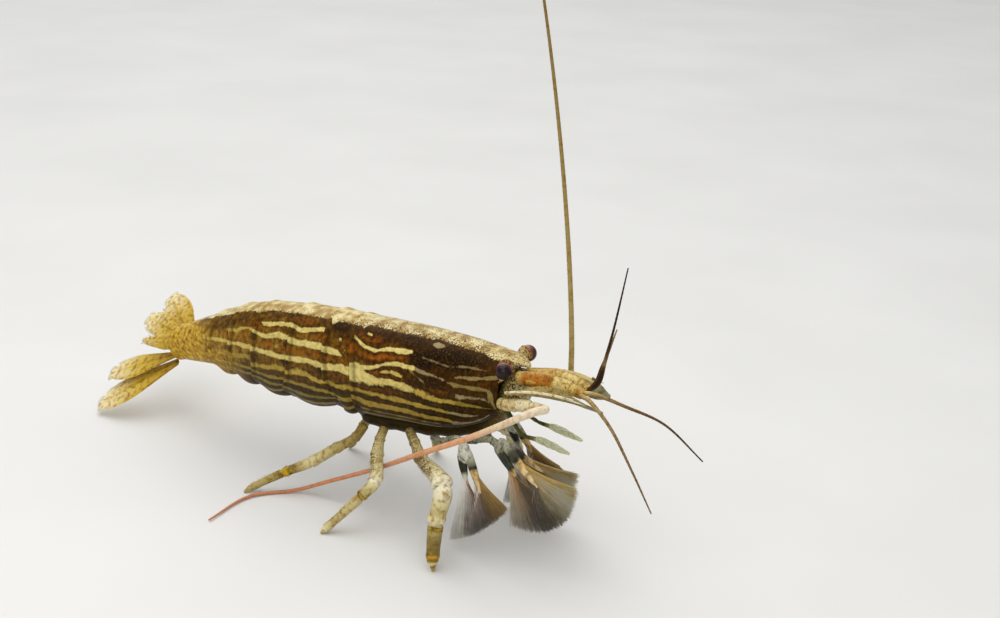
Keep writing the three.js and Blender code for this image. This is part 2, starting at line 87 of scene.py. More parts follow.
def readRows(rows, t):
    # cubic through the rows' columns, rows in order of their first column
    last = len(rows) - 1
    i = max([k for k in range(last) if rows[k][0] <= t], default=0)
    a, b = rows[i], rows[i + 1]
    before, after = rows[max(i - 1, 0)], rows[min(i + 2, last)]
    span = b[0] - a[0]
    f = min(max((t - a[0]) / span, 0), 1)
    ends = 3 * f * f - 2 * f ** 3
    values = []
    for p, q, r, s in zip(a[1:], b[1:], before[1:], after[1:]):
        slopeA = (q - r) / (b[0] - before[0]) * span
        slopeB = (s - p) / (after[0] - a[0]) * span
        bow = (f ** 3 - 2 * f * f + f) * slopeA + (f ** 3 - f * f) * slopeB
        values.append(p + (q - p) * ends + bow)
    return values


def bend(x, y, z):
    # the head end turns to the animal's left
    start, rate = turnOfHead["start"], turnOfHead["rate"]
    near = min(y, start)
    curved = max(near, turnOfHead["end"])
    slope = 2 * rate * (start - curved)
    shift = rate * (curved - start) ** 2 + slope * (curved - near)
    yaw = atan(slope)
    return Vector((shift + x * cos(yaw), y + x * sin(yaw), z))


eyeLow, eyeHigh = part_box("eye_right")
eyeStraight = bend(-eyeBall["x"], eyeBall["y"], eyeBall["z"])
origin = (eyeLow + eyeHigh) / 2 - eyeStraight * mm  # where the tables' zero lies in the frame


def place(point):
    return Vector(point) * mm + origin


def placeBent(x, y, z):
    return place(bend(x, y, z))


def mirrored(points, sign, drop=0):
    # a table's points on one side of the straight animal, bent to the pose
    return [bend(sign * x, y, z - drop) for x, y, z in points]


def power(value, n):
    return copysign(abs(value) ** (2 / n), value)


def smooth(low, high, value):
    f = min(max((value - low) / (high - low), 0), 1)
    return f * f * (3 - 2 * f)


def bump(value, centre, width):
    return exp(-(((value - centre) / width) ** 2))


def trunkAt(y):
    # the trunk at a place along it: top, lower edge, half width, roll and mid height
    top, low, half, roll = readRows(trunk, y)
    return top, low, half, radians(roll), low + section["equator"] * (top - low)


def rolled(x, y, z):
    # a point given in the body's own upright section, rolled with the tail
    turn, middle = trunkAt(y)[3:]
    dx = x * cos(turn) - (z - middle) * sin(turn)
    return dx, y, middle + (x * sin(turn) + (z - middle) * cos(turn))


def insideTrunk(x, y, z):
    return placeBent(*rolled(x, y, z))


def onTrunk(y, angle, swell=0.0):
    # the skin of the trunk: angle 0 is the midline of the back, pi the belly
    top, low, half, turn, middle = trunkAt(y)
    s, c = sin(angle), cos(angle)
    n = section["upperPower"] if c > 0 else section["lowerPower"]
    rise = top - middle if c > 0 else middle - low
    x = (half + swell) * power(s, n) * (1 - section["tuck"] * max(0, -c) ** 2)
    return insideTrunk(x, y, middle + (rise + swell) * power(c, n))


def jointAt(joint, angle):
    middle, top, low = joint
    back = max(0, cos(angle)) ** 2
    return middle + top * back + low * bump(abs(angle) * 180 / pi, hem["degrees"], hem["half"])


def wrapMesh(around, rows, shape, layers=()):
    # a grid wrapped round a form: shape(u, row) gives each point, and a value for each layer
    bm = bmesh.new()
    bm.loops.layers.uv.new("UVMap")
    bmesh.ops.create_grid(bm, x_segments=around, y_segments=rows - 1, size=0.5, calc_uvs=True)
    stores = [bm.verts.layers.float.new(layer) for layer in layers]
    for vert in bm.verts:
        row = round((vert.co.y + 0.5) * (rows - 1))
        vert.co, *values = shape(vert.co.x + 0.5, row)
        for store, value in zip(stores, values):
            vert[store] = value
    bmesh.ops.remove_doubles(bm, verts=bm.verts, dist=1e-7)
    bmesh.ops.recalc_face_normals(bm, faces=bm.faces)
    return bm


def readLayer(mesh, name):
    values = np.zeros(len(mesh.vertices), np.float32)
    mesh.attributes[name].data.foreach_get("value", values)
    return values.astype(float)


def writeLayers(mesh, **layers):
    for name, values in layers.items():
        layer = mesh.attributes.get(name) or mesh.attributes.new(name, "FLOAT", "POINT")
        layer.data.foreach_set("value", np.asarray(values, np.float32))


def readTable(table, places):
    # straight steps through a list of (place, value)
    return np.interp(places, *zip(*table))


def addObject(name, data):
    made = bpy.data.objects.new(name, data)
    bpy.context.scene.collection.objects.link(made)
    return made


def addPiece(name, form, material, replaced=(), tint=None, speck=((0, 0), (1, 0))):
    # tint and speck colour a limb, each a list of (share of its length, value)
    mesh = form
    if isinstance(form, bmesh.types.BMesh):
        mesh = bpy.data.meshes.new(name)
        form.to_mesh(mesh)
        form.free()
    mesh.name = name
    mesh.shade_smooth()
    mesh.materials.append(material)
    piece = addObject(name, mesh)
    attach(piece, "root")
    if replaced:
        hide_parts(*replaced)
    if tint:
        reach = readLayer(mesh, "reach")
        writeLayers(mesh, tint=readTable(tint, reach), speck=readTable(speck, reach))
    return piece


def stepAt(t, count):
    # which of the steps between count stops t falls in, and how far along that step
    s = min(max(t, 0), 1) * (count - 1)
    i = min(int(s), count - 2)
    return i, s - i


def lineThrough(points):
    # smooth centre line through points, the centripetal curve that the solids follow
    knots = [Vector(p) for p in points]
    knots = [knots[0] * 2 - knots[1]] + knots + [knots[-1] * 2 - knots[-2]]

    def along(t):
        i, f = stepAt(t, len(knots) - 2)
        p0, p1, p2, p3 = knots[i:i + 4]
        d0, d1, d2 = [max((b - a).length, 1e-6) ** 0.5 for a, b in ((p0, p1), (p1, p2), (p2, p3))]
        m1 = ((p1 - p0) / d0 - (p2 - p0) / (d0 + d1) + (p2 - p1) / d1) * d1
        m2 = ((p2 - p1) / d1 - (p3 - p1) / (d1 + d2) + (p3 - p2) / d2) * d1
        f2, f3 = f * f, f * f * f
        return (p1 * (2 * f3 - 3 * f2 + 1) + p2 * (3 * f2 - 2 * f3)
                + m1 * (f3 - 2 * f2 + f) + m2 * (f3 - f2))

    return along


def mixAt(values, t):
    # a value between the stops, half eased
    i, f = stepAt(t, len(values))
    f = smooth(0, 1, f) * 0.5 + f * 0.5
    return values[i] + (values[i + 1] - values[i]) * f


def roundedRows(rows, cap=4, bulge=0.45):
    # stations down a limb: share of its length, share of its radius, and push past its end
    ends = [(sin(k / cap * pi / 2), cos(k / cap * pi / 2)) for k in range(cap)]
    first = [(0.0, scale, -bulge * push) for scale, push in ends]
    last = [(1.0, scale, bulge * push) for scale, push in reversed(ends)]
    return first + [(k / rows, 1.0, 0.0) for k in range(rows + 1)] + last


def limbFrame(line, up, t):
    # a point on the limb's centre line with the directions along it, beside it and over it
    near = 0.004
    along = (line(min(t + near, 1)) - line(max(t - near, 0))).normalized()
    side = along.cross(up).normalized()
    return line(t), along, side, side.cross(along).normalized()


def limbMesh(points, radii, settings, swell=None, floor=False):
    # a limb along a smooth line; swell(t, angle) scales its radius; layers reach and flank
    line = lineThrough(points)
    up = Vector(settings.get("up", (0, 0, 1)))
    flat = settings.get("flat", 1.0)
    stations = roundedRows(settings["rows"])

    def shape(u, row):
        t, scale, push = stations[row]
        angle = 2 * pi * u
        centre, along, side, rise = limbFrame(line, up, t)
        radius = mixAt(radii, t)
        width = radius * scale * (swell(t, angle) if swell else 1)
        point = centre + along * push * radius
        point += side * (width * cos(angle)) + rise * (width * flat * sin(angle))
        if floor:
            point.z = max(point.z, 0)
        return place(point), t, cos(angle)

    return wrapMesh(settings["around"], len(stations), shape, ("reach", "flank"))


def addCone(bm, base, tip, width, reach):
    # a small spine joined to what it grows from
    axis = (tip - base) * mm
    turn = axis.to_track_quat("Z", "Y").to_matrix().to_4x4()
    centre = Matrix.Translation(place((base + tip) / 2))
    made = bmesh.ops.create_cone(
        bm, cap_ends=True, cap_tris=True, segments=6, radius1=width * mm, radius2=0.15 * width * mm,
        depth=axis.length, matrix=centre @ turn,
    )
    store = bm.verts.layers.float["reach"]
    for vert in made["verts"]:
        vert[store] = reach
        vert.co.z = max(vert.co.z, 0)


def knuckles(form, t, size=1.0):
    # a limb swells before each joint and pinches at it: heights, places and half widths
    rise, before, wide, pinch, after, narrow = form["knuckle"]
    for joint in form["joints"]:
        size += rise * bump(t, joint - before, wide) - pinch * bump(t, joint + after, narrow)
    return size


def joinInto(bm, other):
    # the second form becomes part of the first mesh
    spare = bpy.data.meshes.new("spare")
    other.to_mesh(spare)
    other.free()
    bm.from_mesh(spare)
    bpy.data.meshes.remove(spare)
    return bm


def strandTemplate(steps):
    # one bristle as a three-sided tapering tube: along it, and round it
    bm = bmesh.new()
    bmesh.ops.create_circle(bm, segments=3, radius=1, cap_ends=True)
    ring = list(bm.edges)
    for _ in range(steps):
        made = bmesh.ops.extrude_edge_only(bm, edges=ring)
        verts = [g for g in made["geom"] if isinstance(g, bmesh.types.BMVert)]
        edges = [g for g in made["geom"] if isinstance(g, bmesh.types.BMEdge)]
        ring = [edge for edge in edges if all(v in verts for v in edge.verts)]
        bmesh.ops.translate(bm, verts=verts, vec=(0, 0, 1))
    bmesh.ops.contextual_create(bm, geom=ring)
    bmesh.ops.recalc_face_normals(bm, faces=bm.faces)
    bmesh.ops.triangulate(bm, faces=[f for f in bm.faces if len(f.verts) > 3])
    bm.verts.index_update()
    points = np.array([v.co[:] for v in bm.verts])
    faces = np.array([[v.index for v in f.verts] for f in bm.faces])
    bm.free()
    return points, faces


def unitRows(vectors):
    return vectors / (np.linalg.norm(vectors, axis=-1, keepdims=True) + 1e-12)


def strandMesh(paths, widths, rootPlaces, fan, taper=0.25):
    # bristles joined as one mesh. paths is (count, steps + 1, 3) in the tables' millimetres,
    # rootPlaces two lists of each root's place on the unwrapped limb, fan its place in the fan
    count, steps = paths.shape[0], paths.shape[1] - 1
    points, faces = strandTemplate(steps)
    level = points[:, 2].astype(int)
    along = unitRows(np.gradient(paths, axis=1))
    side = unitRows(np.cross(along, (0.31, 0.17, 0.93)))  # any direction that no bristle takes
    rise = np.cross(side, along)
    share = level / steps
    width = np.reshape(widths, (-1, 1)) * (1 - (1 - taper) * share[None] ** 1.3)
    spots = (paths[:, level] + side[:, level] * (points[None, :, 0] * width)[..., None]
             + rise[:, level] * (points[None, :, 1] * width)[..., None])
    spots = spots.reshape(-1, 3) * mm + np.array(origin)
    spots[:, 2] = np.maximum(spots[:, 2], floorGap)
    tiled = (faces[None] + (np.arange(count) * len(points))[:, None, None]).reshape(-1, 3)
    mesh = bpy.data.meshes.new("strands")
    mesh.from_pydata(spots.tolist(), [], tiled.tolist())
    corner = tiled.reshape(-1)
    strand, vertex = corner // len(points), corner % len(points)
    # each bristle has its own small patch of the baked map, inside the map's edge
    margin, tuft = 0.995, 0.003
    patch = np.stack([points[vertex, 0] * 0.3 + 0.5, share[vertex]], 1) * tuft
    roots = np.stack(rootPlaces, 1) * margin
    baked = mesh.uv_layers.new(name="OFBake")
    baked.data.foreach_set("uv", (roots[strand] + patch).astype(np.float32).ravel())
    writeLayers(mesh, fan=np.repeat(fan, len(points)), reach=np.tile(share, count))
    mesh.update()
    return mesh


def bristlePaths(roots, middles, tips, steps):
    # quadratic curves from root to tip, bent toward the middles
    t = np.linspace(0, 1, steps + 1)[None, :, None]
    roots, middles, tips = [np.asarray(p)[:, None, :] for p in (roots, middles, tips)]
    return roots * (1 - t) ** 2 + middles * 2 * t * (1 - t) + tips * t * t


def hexColour(code, alpha=1.0):
    # sRGB hex to the linear values that nodes take
    channels = [int(code[i:i + 2], 16) / 255 for i in (1, 3, 5)]
    linear = [c / 12.92 if c <= 0.04045 else ((c + 0.055) / 1.055) ** 2.4 for c in channels]
    return (*linear, alpha)


def addNode(tree, kind, inputs=(), ramp=(), **settings):
    # a node with its settings, its inputs as values or sockets to link, by name or in order,
    # and a ramp's (place, hex). It gives back the one output that is used.
    made = tree.nodes.new("ShaderNode" + kind)
    for name, value in settings.items():
        setattr(made, name, value)
    for name, value in inputs.items() if isinstance(inputs, dict) else enumerate(inputs):
        if isinstance(value, bpy.types.NodeSocket):
            tree.links.new(value, made.inputs[name])
        else:
            made.inputs[name].default_value = value
    for index, (position, code) in enumerate(ramp):
        elements = made.color_ramp.elements
        stop = elements[index] if index < len(elements) else elements.new(position)
        stop.position = position
        stop.color = hexColour(code)
    return made.outputs[{"TexCoord": "Object", "Attribute": "Fac", "Mix": 2}.get(kind, 0)]


def newMaterial(name, **sockets):
    material = bpy.data.materials.new(name)
    material.use_nodes = True
    tree = material.node_tree
    shader = tree.nodes["Principled BSDF"]
    for socket, value in sockets.items():
        shader.inputs[socket.replace("_", " ")].default_value = value
    return material, shader, partial(addNode, tree)


def feed(shader, **sockets):
    for socket, value in sockets.items():
        shader.id_data.links.new(value, shader.inputs[socket.replace("_", " ")])


shellTone = {
    "cream": "#dcc97c",
    "straw": "#c8ad58",
    "yellow": "#a98d38",
    "olive": "#7b6a29",
    "greyTan": "#9c8860",
    "dull": "#6f5c3a",
    "darkBrown": "#2e1a05",
    "midBrown": "#603c0e",
    "honey": "#86611a",
    "amber": "#9a520e",
    "nearBlack": "#150c05",
    "belly": "#352a0c",
    "back": "#c3ab70",
    "backPale": "#d8ca97",
    "backTan": "#9d8045",
    "speck": "#432b10",
    "gold": "#b5892a",
    "brightGold": "#d8b83e",
}
farOutside = -5.0  # the depth that stands for no line at all
plateLayers = ("pale", "tone", "back", "clean", "honey", "ember", "dusk", "gold", "belly", "rim")


def pigmentedChitin():
    # Calcified chitin, clear on top with the pigment below: a wet gloss over brown fields that
    # glow amber, cut by opaque cream lines.
    material, shader, add = newMaterial(
        "pigmented chitin", IOR=1.5, Specular_IOR_Level=0.15, Coat_Weight=0.03,
        Coat_Roughness=0.12, Specular_Tint=hexColour("#c49046"),
    )
    tone = shellTone
    spot = add("TexCoord")
    read = {word: add("Attribute", attribute_name=word) for word in plateLayers}
    # 1.3 mm waves, 0.6 mm blotches, 0.25 mm fraying and 0.2 mm specks
    waves = add("TexNoise", {"Vector": spot, "Scale": 750, "Detail": 3})
    blotch = add("TexNoise", {"Vector": spot, "Scale": 1700, "Detail": 5})
    fray = add("TexNoise", {"Vector": spot, "Scale": 4000, "Detail": 4})
    pepper = add("TexNoise", {"Vector": spot, "Scale": 5200, "Detail": 2})

    # how deep inside a line, in millimetres past 0.5, with a ragged edge
    wavy = add("Math", (waves, 0.45, read["pale"]), operation="MULTIPLY_ADD")
    ragged = add("Math", (fray, 0.26, wavy), operation="MULTIPLY_ADD")
    line = add("MapRange", (ragged, 0.3, 0.42))
    away = add("MapRange", (ragged, 0.22, -0.25))

    # brown fields: amber in their middle, dark beside each line
    brown = add("ValToRGB", [blotch], [
        (0.32, tone["darkBrown"]), (0.52, "#472a08"), (0.66, tone["midBrown"]), (0.8, "#8a6420"),
    ])
    sweet = add("ValToRGB", [blotch], [(0.3, "#573508"), (0.5, tone["honey"]), (0.7, "#a88a30")])
    brown = add("Mix", {0: read["honey"], 6: brown, 7: sweet}, data_type="RGBA")
    warm = add("MapRange", (blotch, 0.32, 0.56))
    glow = add("Math", (warm, read["ember"]), operation="MULTIPLY")
    glow = add("Math", (glow, away), operation="MULTIPLY")
    field = add("Mix", {0: glow, 6: brown, 7: hexColour(tone["amber"])}, data_type="RGBA")
    ink = add("ValToRGB", [fray], [(0.42, tone["nearBlack"]), (0.58, "#2a1a0b"), (0.7, "#54401e")])
    field = add("Mix", {0: read["dusk"], 6: field, 7: ink}, data_type="RGBA")
    # the lower flank: its own darker olive, with painted shade that deepens toward the belly
    underColourAndShade = add("ValToRGB", [blotch], [(0.35, "#1d1504"), (0.6, tone["belly"]), (0.75, "#564818")])
    field = add("Mix", {0: read["belly"], 6: field, 7: underColourAndShade}, data_type="RGBA")

    # lines, from cream through yellow to grey
    paint = add("ValToRGB", [read["tone"]], [
        (0.0, tone["cream"]), (0.3, tone["straw"]), (0.5, tone["yellow"]), (0.64, tone["olive"]),
        (0.8, tone["greyTan"]), (1.0, tone["dull"]),
    ])
    mottle = add("MapRange", (blotch, 0.3, 0.58, 0.66, 1.05))
    paint = add("Mix", {0: 1.0, 6: paint, 7: mottle}, data_type="RGBA", blend_type="MULTIPLY")
    lined = add("Mix", {0: line, 6: field, 7: paint}, data_type="RGBA")
    # darker just before a plate's rear edge: partly the translucent lip's own colour, partly painted
    # shade at the joint
    deep = add("Math", (read["rim"], 0.6), operation="MULTIPLY")
    lined = add("Mix", {0: deep, 6: lined, 7: hexColour(tone["darkBrown"])}, data_type="RGBA")

    # the tail end turns gold
    gilt = add("ValToRGB", [blotch], [
        (0.32, "#6f4a12"), (0.5, tone["gold"]), (0.68, tone["brightGold"]),
    ])
    gilded = add("Mix", {0: read["gold"], 6: lined, 7: gilt}, data_type="RGBA")

    # tan back with pale drifts, its brown specks crowded toward its edge
    edge = add("Math", (fray, 1.0, read["back"]), operation="MULTIPLY_ADD")
    covered = add("MapRange", (edge, 0.42, 0.56))
    saddle = add("ValToRGB", [waves], [
        (0.38, tone["backTan"]), (0.5, tone["back"]), (0.62, tone["backPale"]),
    ])
    crowd = add("MapRange", (read["back"], 0.0, 1.6, 0.46, 0.555))
    crowd = add("Math", (read["clean"], 0.12, crowd), operation="MULTIPLY_ADD")
    over = add("Math", (pepper, crowd), operation="SUBTRACT")
    dots = add("MapRange", (over, 0.0, 0.04, 0.0, 0.9))
    saddle = add("Mix", {0: dots, 6: saddle, 7: hexColour(tone["speck"])}, data_type="RGBA")
    whole = add("Mix", {0: covered, 6: gilded, 7: saddle}, data_type="RGBA")

    gloss = add("MapRange", (blotch, 0.3, 0.7, 0.3, 0.5))
    pits = add("Bump", {"Height": fray, "Strength": 0.3, "Distance": 0.00008})
    swells = add("Bump", {"Height": blotch, "Strength": 0.3, "Distance": 0.0002, "Normal": pits})
    feed(shader, Base_Color=whole, Roughness=gloss, Normal=swells)
    return material


# Lines on each plate: tone (0 cream, 0.5 yellow, 0.8 grey tan, 1 dull), then points of place
# along the body, degrees round from the midline of the back, and half width in degrees.
plateLines = {
    "carapace": [
        (0.05, [(1.6, 48, 1.6), (2.2, 49, 2.9), (4, 50, 3), (5.2, 50, 3), (6, 52, 2.4),
                (7, 55, 2.4), (8, 54, 2.1), (9, 52.5, 2.2), (9.8, 49, 2), (11, 44, 1.8)]),
        (0.1, [(0.6, 66.5, 2), (2, 66.5, 2.8), (3, 65, 2.4), (4, 66, 2.4), (5, 68, 2),
               (6, 71, 1.9), (7, 74, 2.1), (8, 76, 2.8), (9, 77, 4), (9.7, 77, 4.4),
               (10.3, 77, 2.6), (11.5, 77, 2)]),
        (0.85, [(-3.6, 74.5, 0.9), (-3, 73.3, 1.3), (-2, 71.5, 1.5), (-1, 69.8, 1.6),
                (0.8, 66.5, 2)]),
        (0.68, [(-9, 87, 2.2), (-8.6, 84.5, 2.6), (-8, 82.6, 2.8), (-7, 81.4, 2.2), (-6, 80, 1.8),
                (-5, 78.6, 2), (-4.4, 77.4, 1.6), (-3.8, 76, 0.8)]),
        (0.05, [(6.2, 87, 2.6), (7.2, 86.5, 4), (8.2, 85, 5.6), (9, 84, 6.8), (10, 83.5, 7.4),
                (11.5, 83, 6.6)]),
        (0.15, [(0.5, 90, 2.2), (2, 88, 2.7), (4, 86.5, 3), (6, 87, 3.2), (7.5, 87, 4)]),
        (0.45, [(-5, 96.2, 2.2), (-4, 95.5, 2.2), (-3, 94.8, 2.1), (-2, 93.5, 2.2),
                (-1, 92.2, 2.3), (0.6, 90, 2.1)]),
        (0.6, [(-9.6, 119, 1.2), (-9, 114, 1.5), (-8, 105.5, 1.8), (-7, 101, 1.9), (-6, 98.5, 1.9),
               (-4.9, 96.2, 2.1)]),
        (0.3, [(2.3, 78, 0.6), (3, 76.8, 1.5), (4, 75.6, 1.7), (5, 76.4, 1.3), (5.8, 78, 0.5)]),
        (0.7, [(-0.7, 80, 0.4), (1.5, 69.5, 0.6)]),
        (0.95, [(-8.4, 55, 1.2), (-7, 53.5, 1.4), (-6, 53.5, 1.5), (-5, 54.5, 1.4),
                (-4, 57, 1.1), (-3, 56.4, 1.1), (-1.5, 54, 1), (0, 52, 0.8)]),
        (0.72, [(-9.75, 66, 2.6), (-9, 66.5, 2.8), (-8, 67.5, 2.4), (-7, 68.5, 2.4),
                (-6, 67.8, 2.2), (-5.2, 68.5, 1.6), (-4.7, 70, 0.8)]),
        (0.82, [(-9, 101, 1), (-8.5, 95.5, 1.4), (-8, 93, 1.3), (-7, 91.6, 1), (-6, 91, 0.9),
                (-5, 90.2, 0.7)]),
        (0.78, [(-7.6, 122, 1.4), (-7, 119.4, 2.2), (-6, 115.5, 2.7), (-5, 112, 2.5),
                (-3.8, 109, 2.2)]),
        (0.52, [(-4, 109.3, 2), (-3, 107, 2), (-2, 105.2, 2.1), (0, 103.2, 2.6), (2, 101, 2.5),
                (4, 100, 2.4), (6, 99, 2), (8, 98, 1.7), (9.2, 97, 1.6), (11.2, 97, 1.5)]),
        (0.82, [(-8.8, 129, 1.2), (-8, 133, 1.8), (-7, 134.5, 2.2), (-6, 133, 3), (-5, 131, 4),
                (-4.2, 127.5, 4)]),
        (0.54, [(-4.5, 127.5, 2.8), (-3.8, 123.4, 3.5), (-3, 120.8, 3.7), (-2, 119.8, 3.8),
                (-1, 119.4, 4), (0, 118, 4), (2, 114.8, 4), (4, 114, 4), (6, 114, 4.6),
                (8, 113.4, 4.7), (9, 110.6, 4), (10.4, 107, 2.6)]),
        (0.6, [(-2.6, 131.5, 1), (3, 128, 1.5), (9.4, 125, 1.5)]),
        (0.66, [(-2.5, 142, 2), (2, 139.5, 2.8), (9.5, 138, 2.6)]),
        (0.82, [(-2.3, 30.5, 1), (-2.05, 30.5, 3.4), (-1.7, 30.5, 4.6), (-1.2, 30.5, 4.6),
                (-0.85, 30.5, 3.4), (-0.6, 30.5, 1)]),
        (0.2, [(8.4, 37, 1.4), (9.3, 35.2, 1.6)]),
    ],
    "abdomen_1": [
        (0.1, [(12.2, 69.5, 1), (12.9, 67.4, 3), (14, 66.3, 3.6), (16, 66, 3.4)]),
        (0.1, [(9.5, 84, 4.4), (11, 83.2, 4.2), (12.4, 82.6, 3.7), (14, 84, 3.2), (16, 85, 2.9)]),
        (0.5, [(9.5, 97, 1.6), (11, 97, 2), (12, 98.6, 2.2), (13, 98.8, 2.2), (14.2, 96.6, 1.8),
               (16, 98, 1.4)]),
        (0.58, [(9.5, 112.5, 2.6), (12, 114.5, 3), (14, 111.8, 2.6), (16, 110, 2.4)]),
        (0.66, [(9.5, 126, 2.2), (12, 127, 2.6), (14, 124, 2.4)]),
        (0.1, [(12.85, 51, 1.6), (13.25, 51, 1.6)]),
        (0.45, [(11.2, 52, 0.8), (11.6, 60, 1.2), (12.2, 66, 1)]),
    ],
    "abdomen_2": [
        (0.1, [(14.4, 45, 2), (15.4, 43.5, 2.4), (16.5, 42.4, 2.8), (18, 45.4, 3), (19, 48, 3.2),
               (20, 49.3, 2.9), (20.8, 46.4, 2.5), (22.4, 43.6, 2)]),
        (0.08, [(14, 63.5, 4), (17, 63.4, 4), (19, 64, 3.8), (20.4, 64.5, 3.7), (22.4, 61, 3)]),
        (0.12, [(13, 85.2, 2.6), (16, 83.5, 2.8), (18, 82, 2.8), (20, 82.5, 2.8), (23.2, 83, 2.6)]),
        (0.45, [(12.6, 97, 1.4), (16, 98.4, 2), (17, 96.8, 2), (18, 93.6, 2.2), (20, 93, 2.2),
                (21, 95, 2), (23.4, 94.4, 2)]),
        (0.58, [(12.6, 111, 2.2), (16, 110, 2.4), (17.5, 108.3, 2.4), (19, 107, 2.2),
                (21, 106, 1.9), (23.4, 104, 1.8)]),
        (0.64, [(13.4, 121, 2), (17, 121, 2.4), (20, 121, 2.8), (23.4, 117, 2.6)]),
        (0.68, [(14, 133, 2.4), (20, 132, 2.6), (22, 130, 2.4)]),
    ],
    "abdomen_3": [
        (0.15, [(20.2, 43.8, 2), (22.5, 44, 3), (24, 43.6, 3), (25.5, 46.4, 3), (26.6, 46, 2.4),
                (27.3, 44, 0.7)]),
        (0.1, [(20.2, 59.5, 3.1), (22.5, 59.5, 3.4), (24, 59, 3.4), (25, 60.8, 3.4),
               (26, 62.8, 3.2), (27, 61, 2.6), (29, 55, 1.4)]),
        (0.45, [(23.3, 72.5, 2.3), (24, 73, 2.3)]),
        (0.12, [(20.2, 83, 2.6), (23, 83.5, 2.6), (25, 82, 2.6), (27, 80.5, 2.8), (29, 79, 3)]),
        (0.5, [(20.4, 94.6, 1.7), (24, 93.6, 2), (25.5, 95, 2), (27, 96, 2.2), (29, 94.6, 1.7)]),
        (0.6, [(20.6, 104.6, 1.8), (25.4, 106.4, 2.2), (28.6, 104, 2)]),
        (0.64, [(21, 118, 2.6), (25, 117, 2.6), (29, 113, 2.2)]),
        (0.68, [(21, 130, 2.4), (27, 128, 2.4)]),
    ],
    "abdomen_4": [
        (0.4, [(27.6, 58, 0.8), (29.5, 53.4, 1.5), (30.6, 54.6, 2.8), (31.6, 57.6, 3),
               (33.6, 56, 2.2)]),
        (0.22, [(27.2, 79.2, 3), (30, 78, 2.8), (32, 76, 2.6), (34, 74, 2.6)]),
        (0.55, [(27.8, 91.4, 1.5), (30, 90, 2), (34, 92, 2.2)]),
        (0.6, [(28, 104, 2), (34, 101, 2)]),
        (0.66, [(27.6, 115, 2.2), (33, 112, 2.2)]),
    ],
    "abdomen_5": [
        (0.55, [(32, 56.4, 2), (34.4, 54, 0.8)]),
        (0.3, [(32, 75.6, 2.6), (34, 73, 2.7), (36, 69.2, 3.2), (38.4, 65, 3.4)]),
        (0.55, [(32, 92, 2), (38.4, 88, 2.4)]),
        (0.62, [(32.6, 105, 2.2), (38, 102, 2.2)]),
    ],
    "abdomen_6": [
        (0.4, [(36.6, 66, 3.2), (39, 64, 2.4), (40.4, 64, 1)]),
    ],
}

# the line that turns down along the carapace's front edge: degrees round, place along, and half
# width in millimetres
frontLine = (0.7, [(83, -8.6, 0.1), (86, -8.85, 0.24), (91, -9.1, 0.28), (97, -9.25, 0.24),
                   (104, -9.4, 0.2), (112, -9.55, 0.15), (119, -9.7, 0.1)])

# how many degrees round from the midline the pale back reaches, along the body
backReach = [
    (-9.95, 85), (-9.85, 40), (-9.6, 34), (-9, 33), (-8, 29.5), (-7, 23.5), (-5, 24.5),
    (-3, 22.5), (-1, 19.5), (0, 23.5),
    (2, 22), (5, 24), (9, 21), (9.9, 22), (10.3, 31), (10.7, 26), (12, 26), (14.6, 26.5),
    (15.25, 36), (15.7, 25), (20, 25), (24, 24), (26.5, 22), (28.1, 29), (29.4, 24), (33, 24),
    (36, 21), (38.5, 14), (40, 4), (42, 0),
]

# clouds of colour: place along, degrees round, their half sizes, and strength
amberClouds = [
    (18.5, 74, 3.4, 6, 0.9), (24.5, 74, 2.6, 6, 0.75), (13.3, 75, 2.4, 5, 0.8), (5, 60.5, 4.6, 7, 1),
    (5.4, 81, 3.4, 5, 0.9), (5.2, 93, 4, 4, 0.8), (34, 64, 2.4, 6, 0.45), (28, 50, 1.8, 7, 0.6),
    (19.5, 37, 3, 6, 0.25), (17.5, 53, 2.5, 5, 0.55), (25.6, 52, 2.4, 5, 0.3),
    (-7.6, 75, 1.5, 4, 0.45), (-2.7, 88.5, 1.4, 2.5, 1), (12.5, 91, 2.2, 3, 0.6),
    (19, 88, 2.6, 2.5, 0.35), (25, 88, 2.6, 2.5, 0.3), (9.4, 40, 1.2, 8, 0.6),
    (30.4, 66, 1.6, 6, 0.4), (-8.7, 91, 0.5, 4, 0.35), (11, 57, 1, 8, 0.8), (12.8, 61, 1.2, 4, 0.6),
    (8.3, 40, 1.6, 7, 0.7),
]
duskClouds = [
    (-4, 46, 4.8, 20, 1), (0, 55, 2.4, 14, 1), (7, 33, 5, 9, 0.6), (13.6, 33, 1.8, 12, 0.85),
    (-2, 79, 2.6, 8, 0.8), (-6, 61, 3, 5, 0.6), (2, 34, 2.4, 14, 0.75), (-6.5, 36, 2.6, 12, 0.8),
    (-4, 104, 5, 14, 0.8), (40, 24, 2, 30, 0.4), (22, 87, 1, 4, 0.9), (15.6, 88, 1.2, 4, 0.8),
    (22, 68, 0.7, 6, 0.7), (15.4, 68, 0.7, 8, 0.6), (28, 88, 1.2, 5, 0.6), (28, 64, 0.8, 6, 0.5),
    (33, 84, 0.7, 5, 0.8), (21.8, 52, 0.6, 6, 0.5), (12, 104, 3, 4, 0.7), (19, 113, 3, 3, 0.5),
]


def cloudWeight(clouds, along, around):
    weight = np.zeros_like(along)
    for y, degrees, long, wide, strength in clouds:
        apart = ((along - y) / long) ** 2 + ((around - degrees) / wide) ** 2
        weight = np.maximum(weight, strength * np.clip(1.45 - 1.1 * apart, 0, 1))
    return weight


def lineDepth(points, along, around):
    # millimetres inside a line, negative outside it
    perDegree = 0.085
    ys, middles, halves = np.array(points, float).T
    off = np.abs(around - np.interp(along, ys, middles))
    depth = (np.interp(along, ys, halves) - off) * perDegree
    past = np.maximum(ys[0] - along, along - ys[-1])
    return np.minimum(depth, -past)


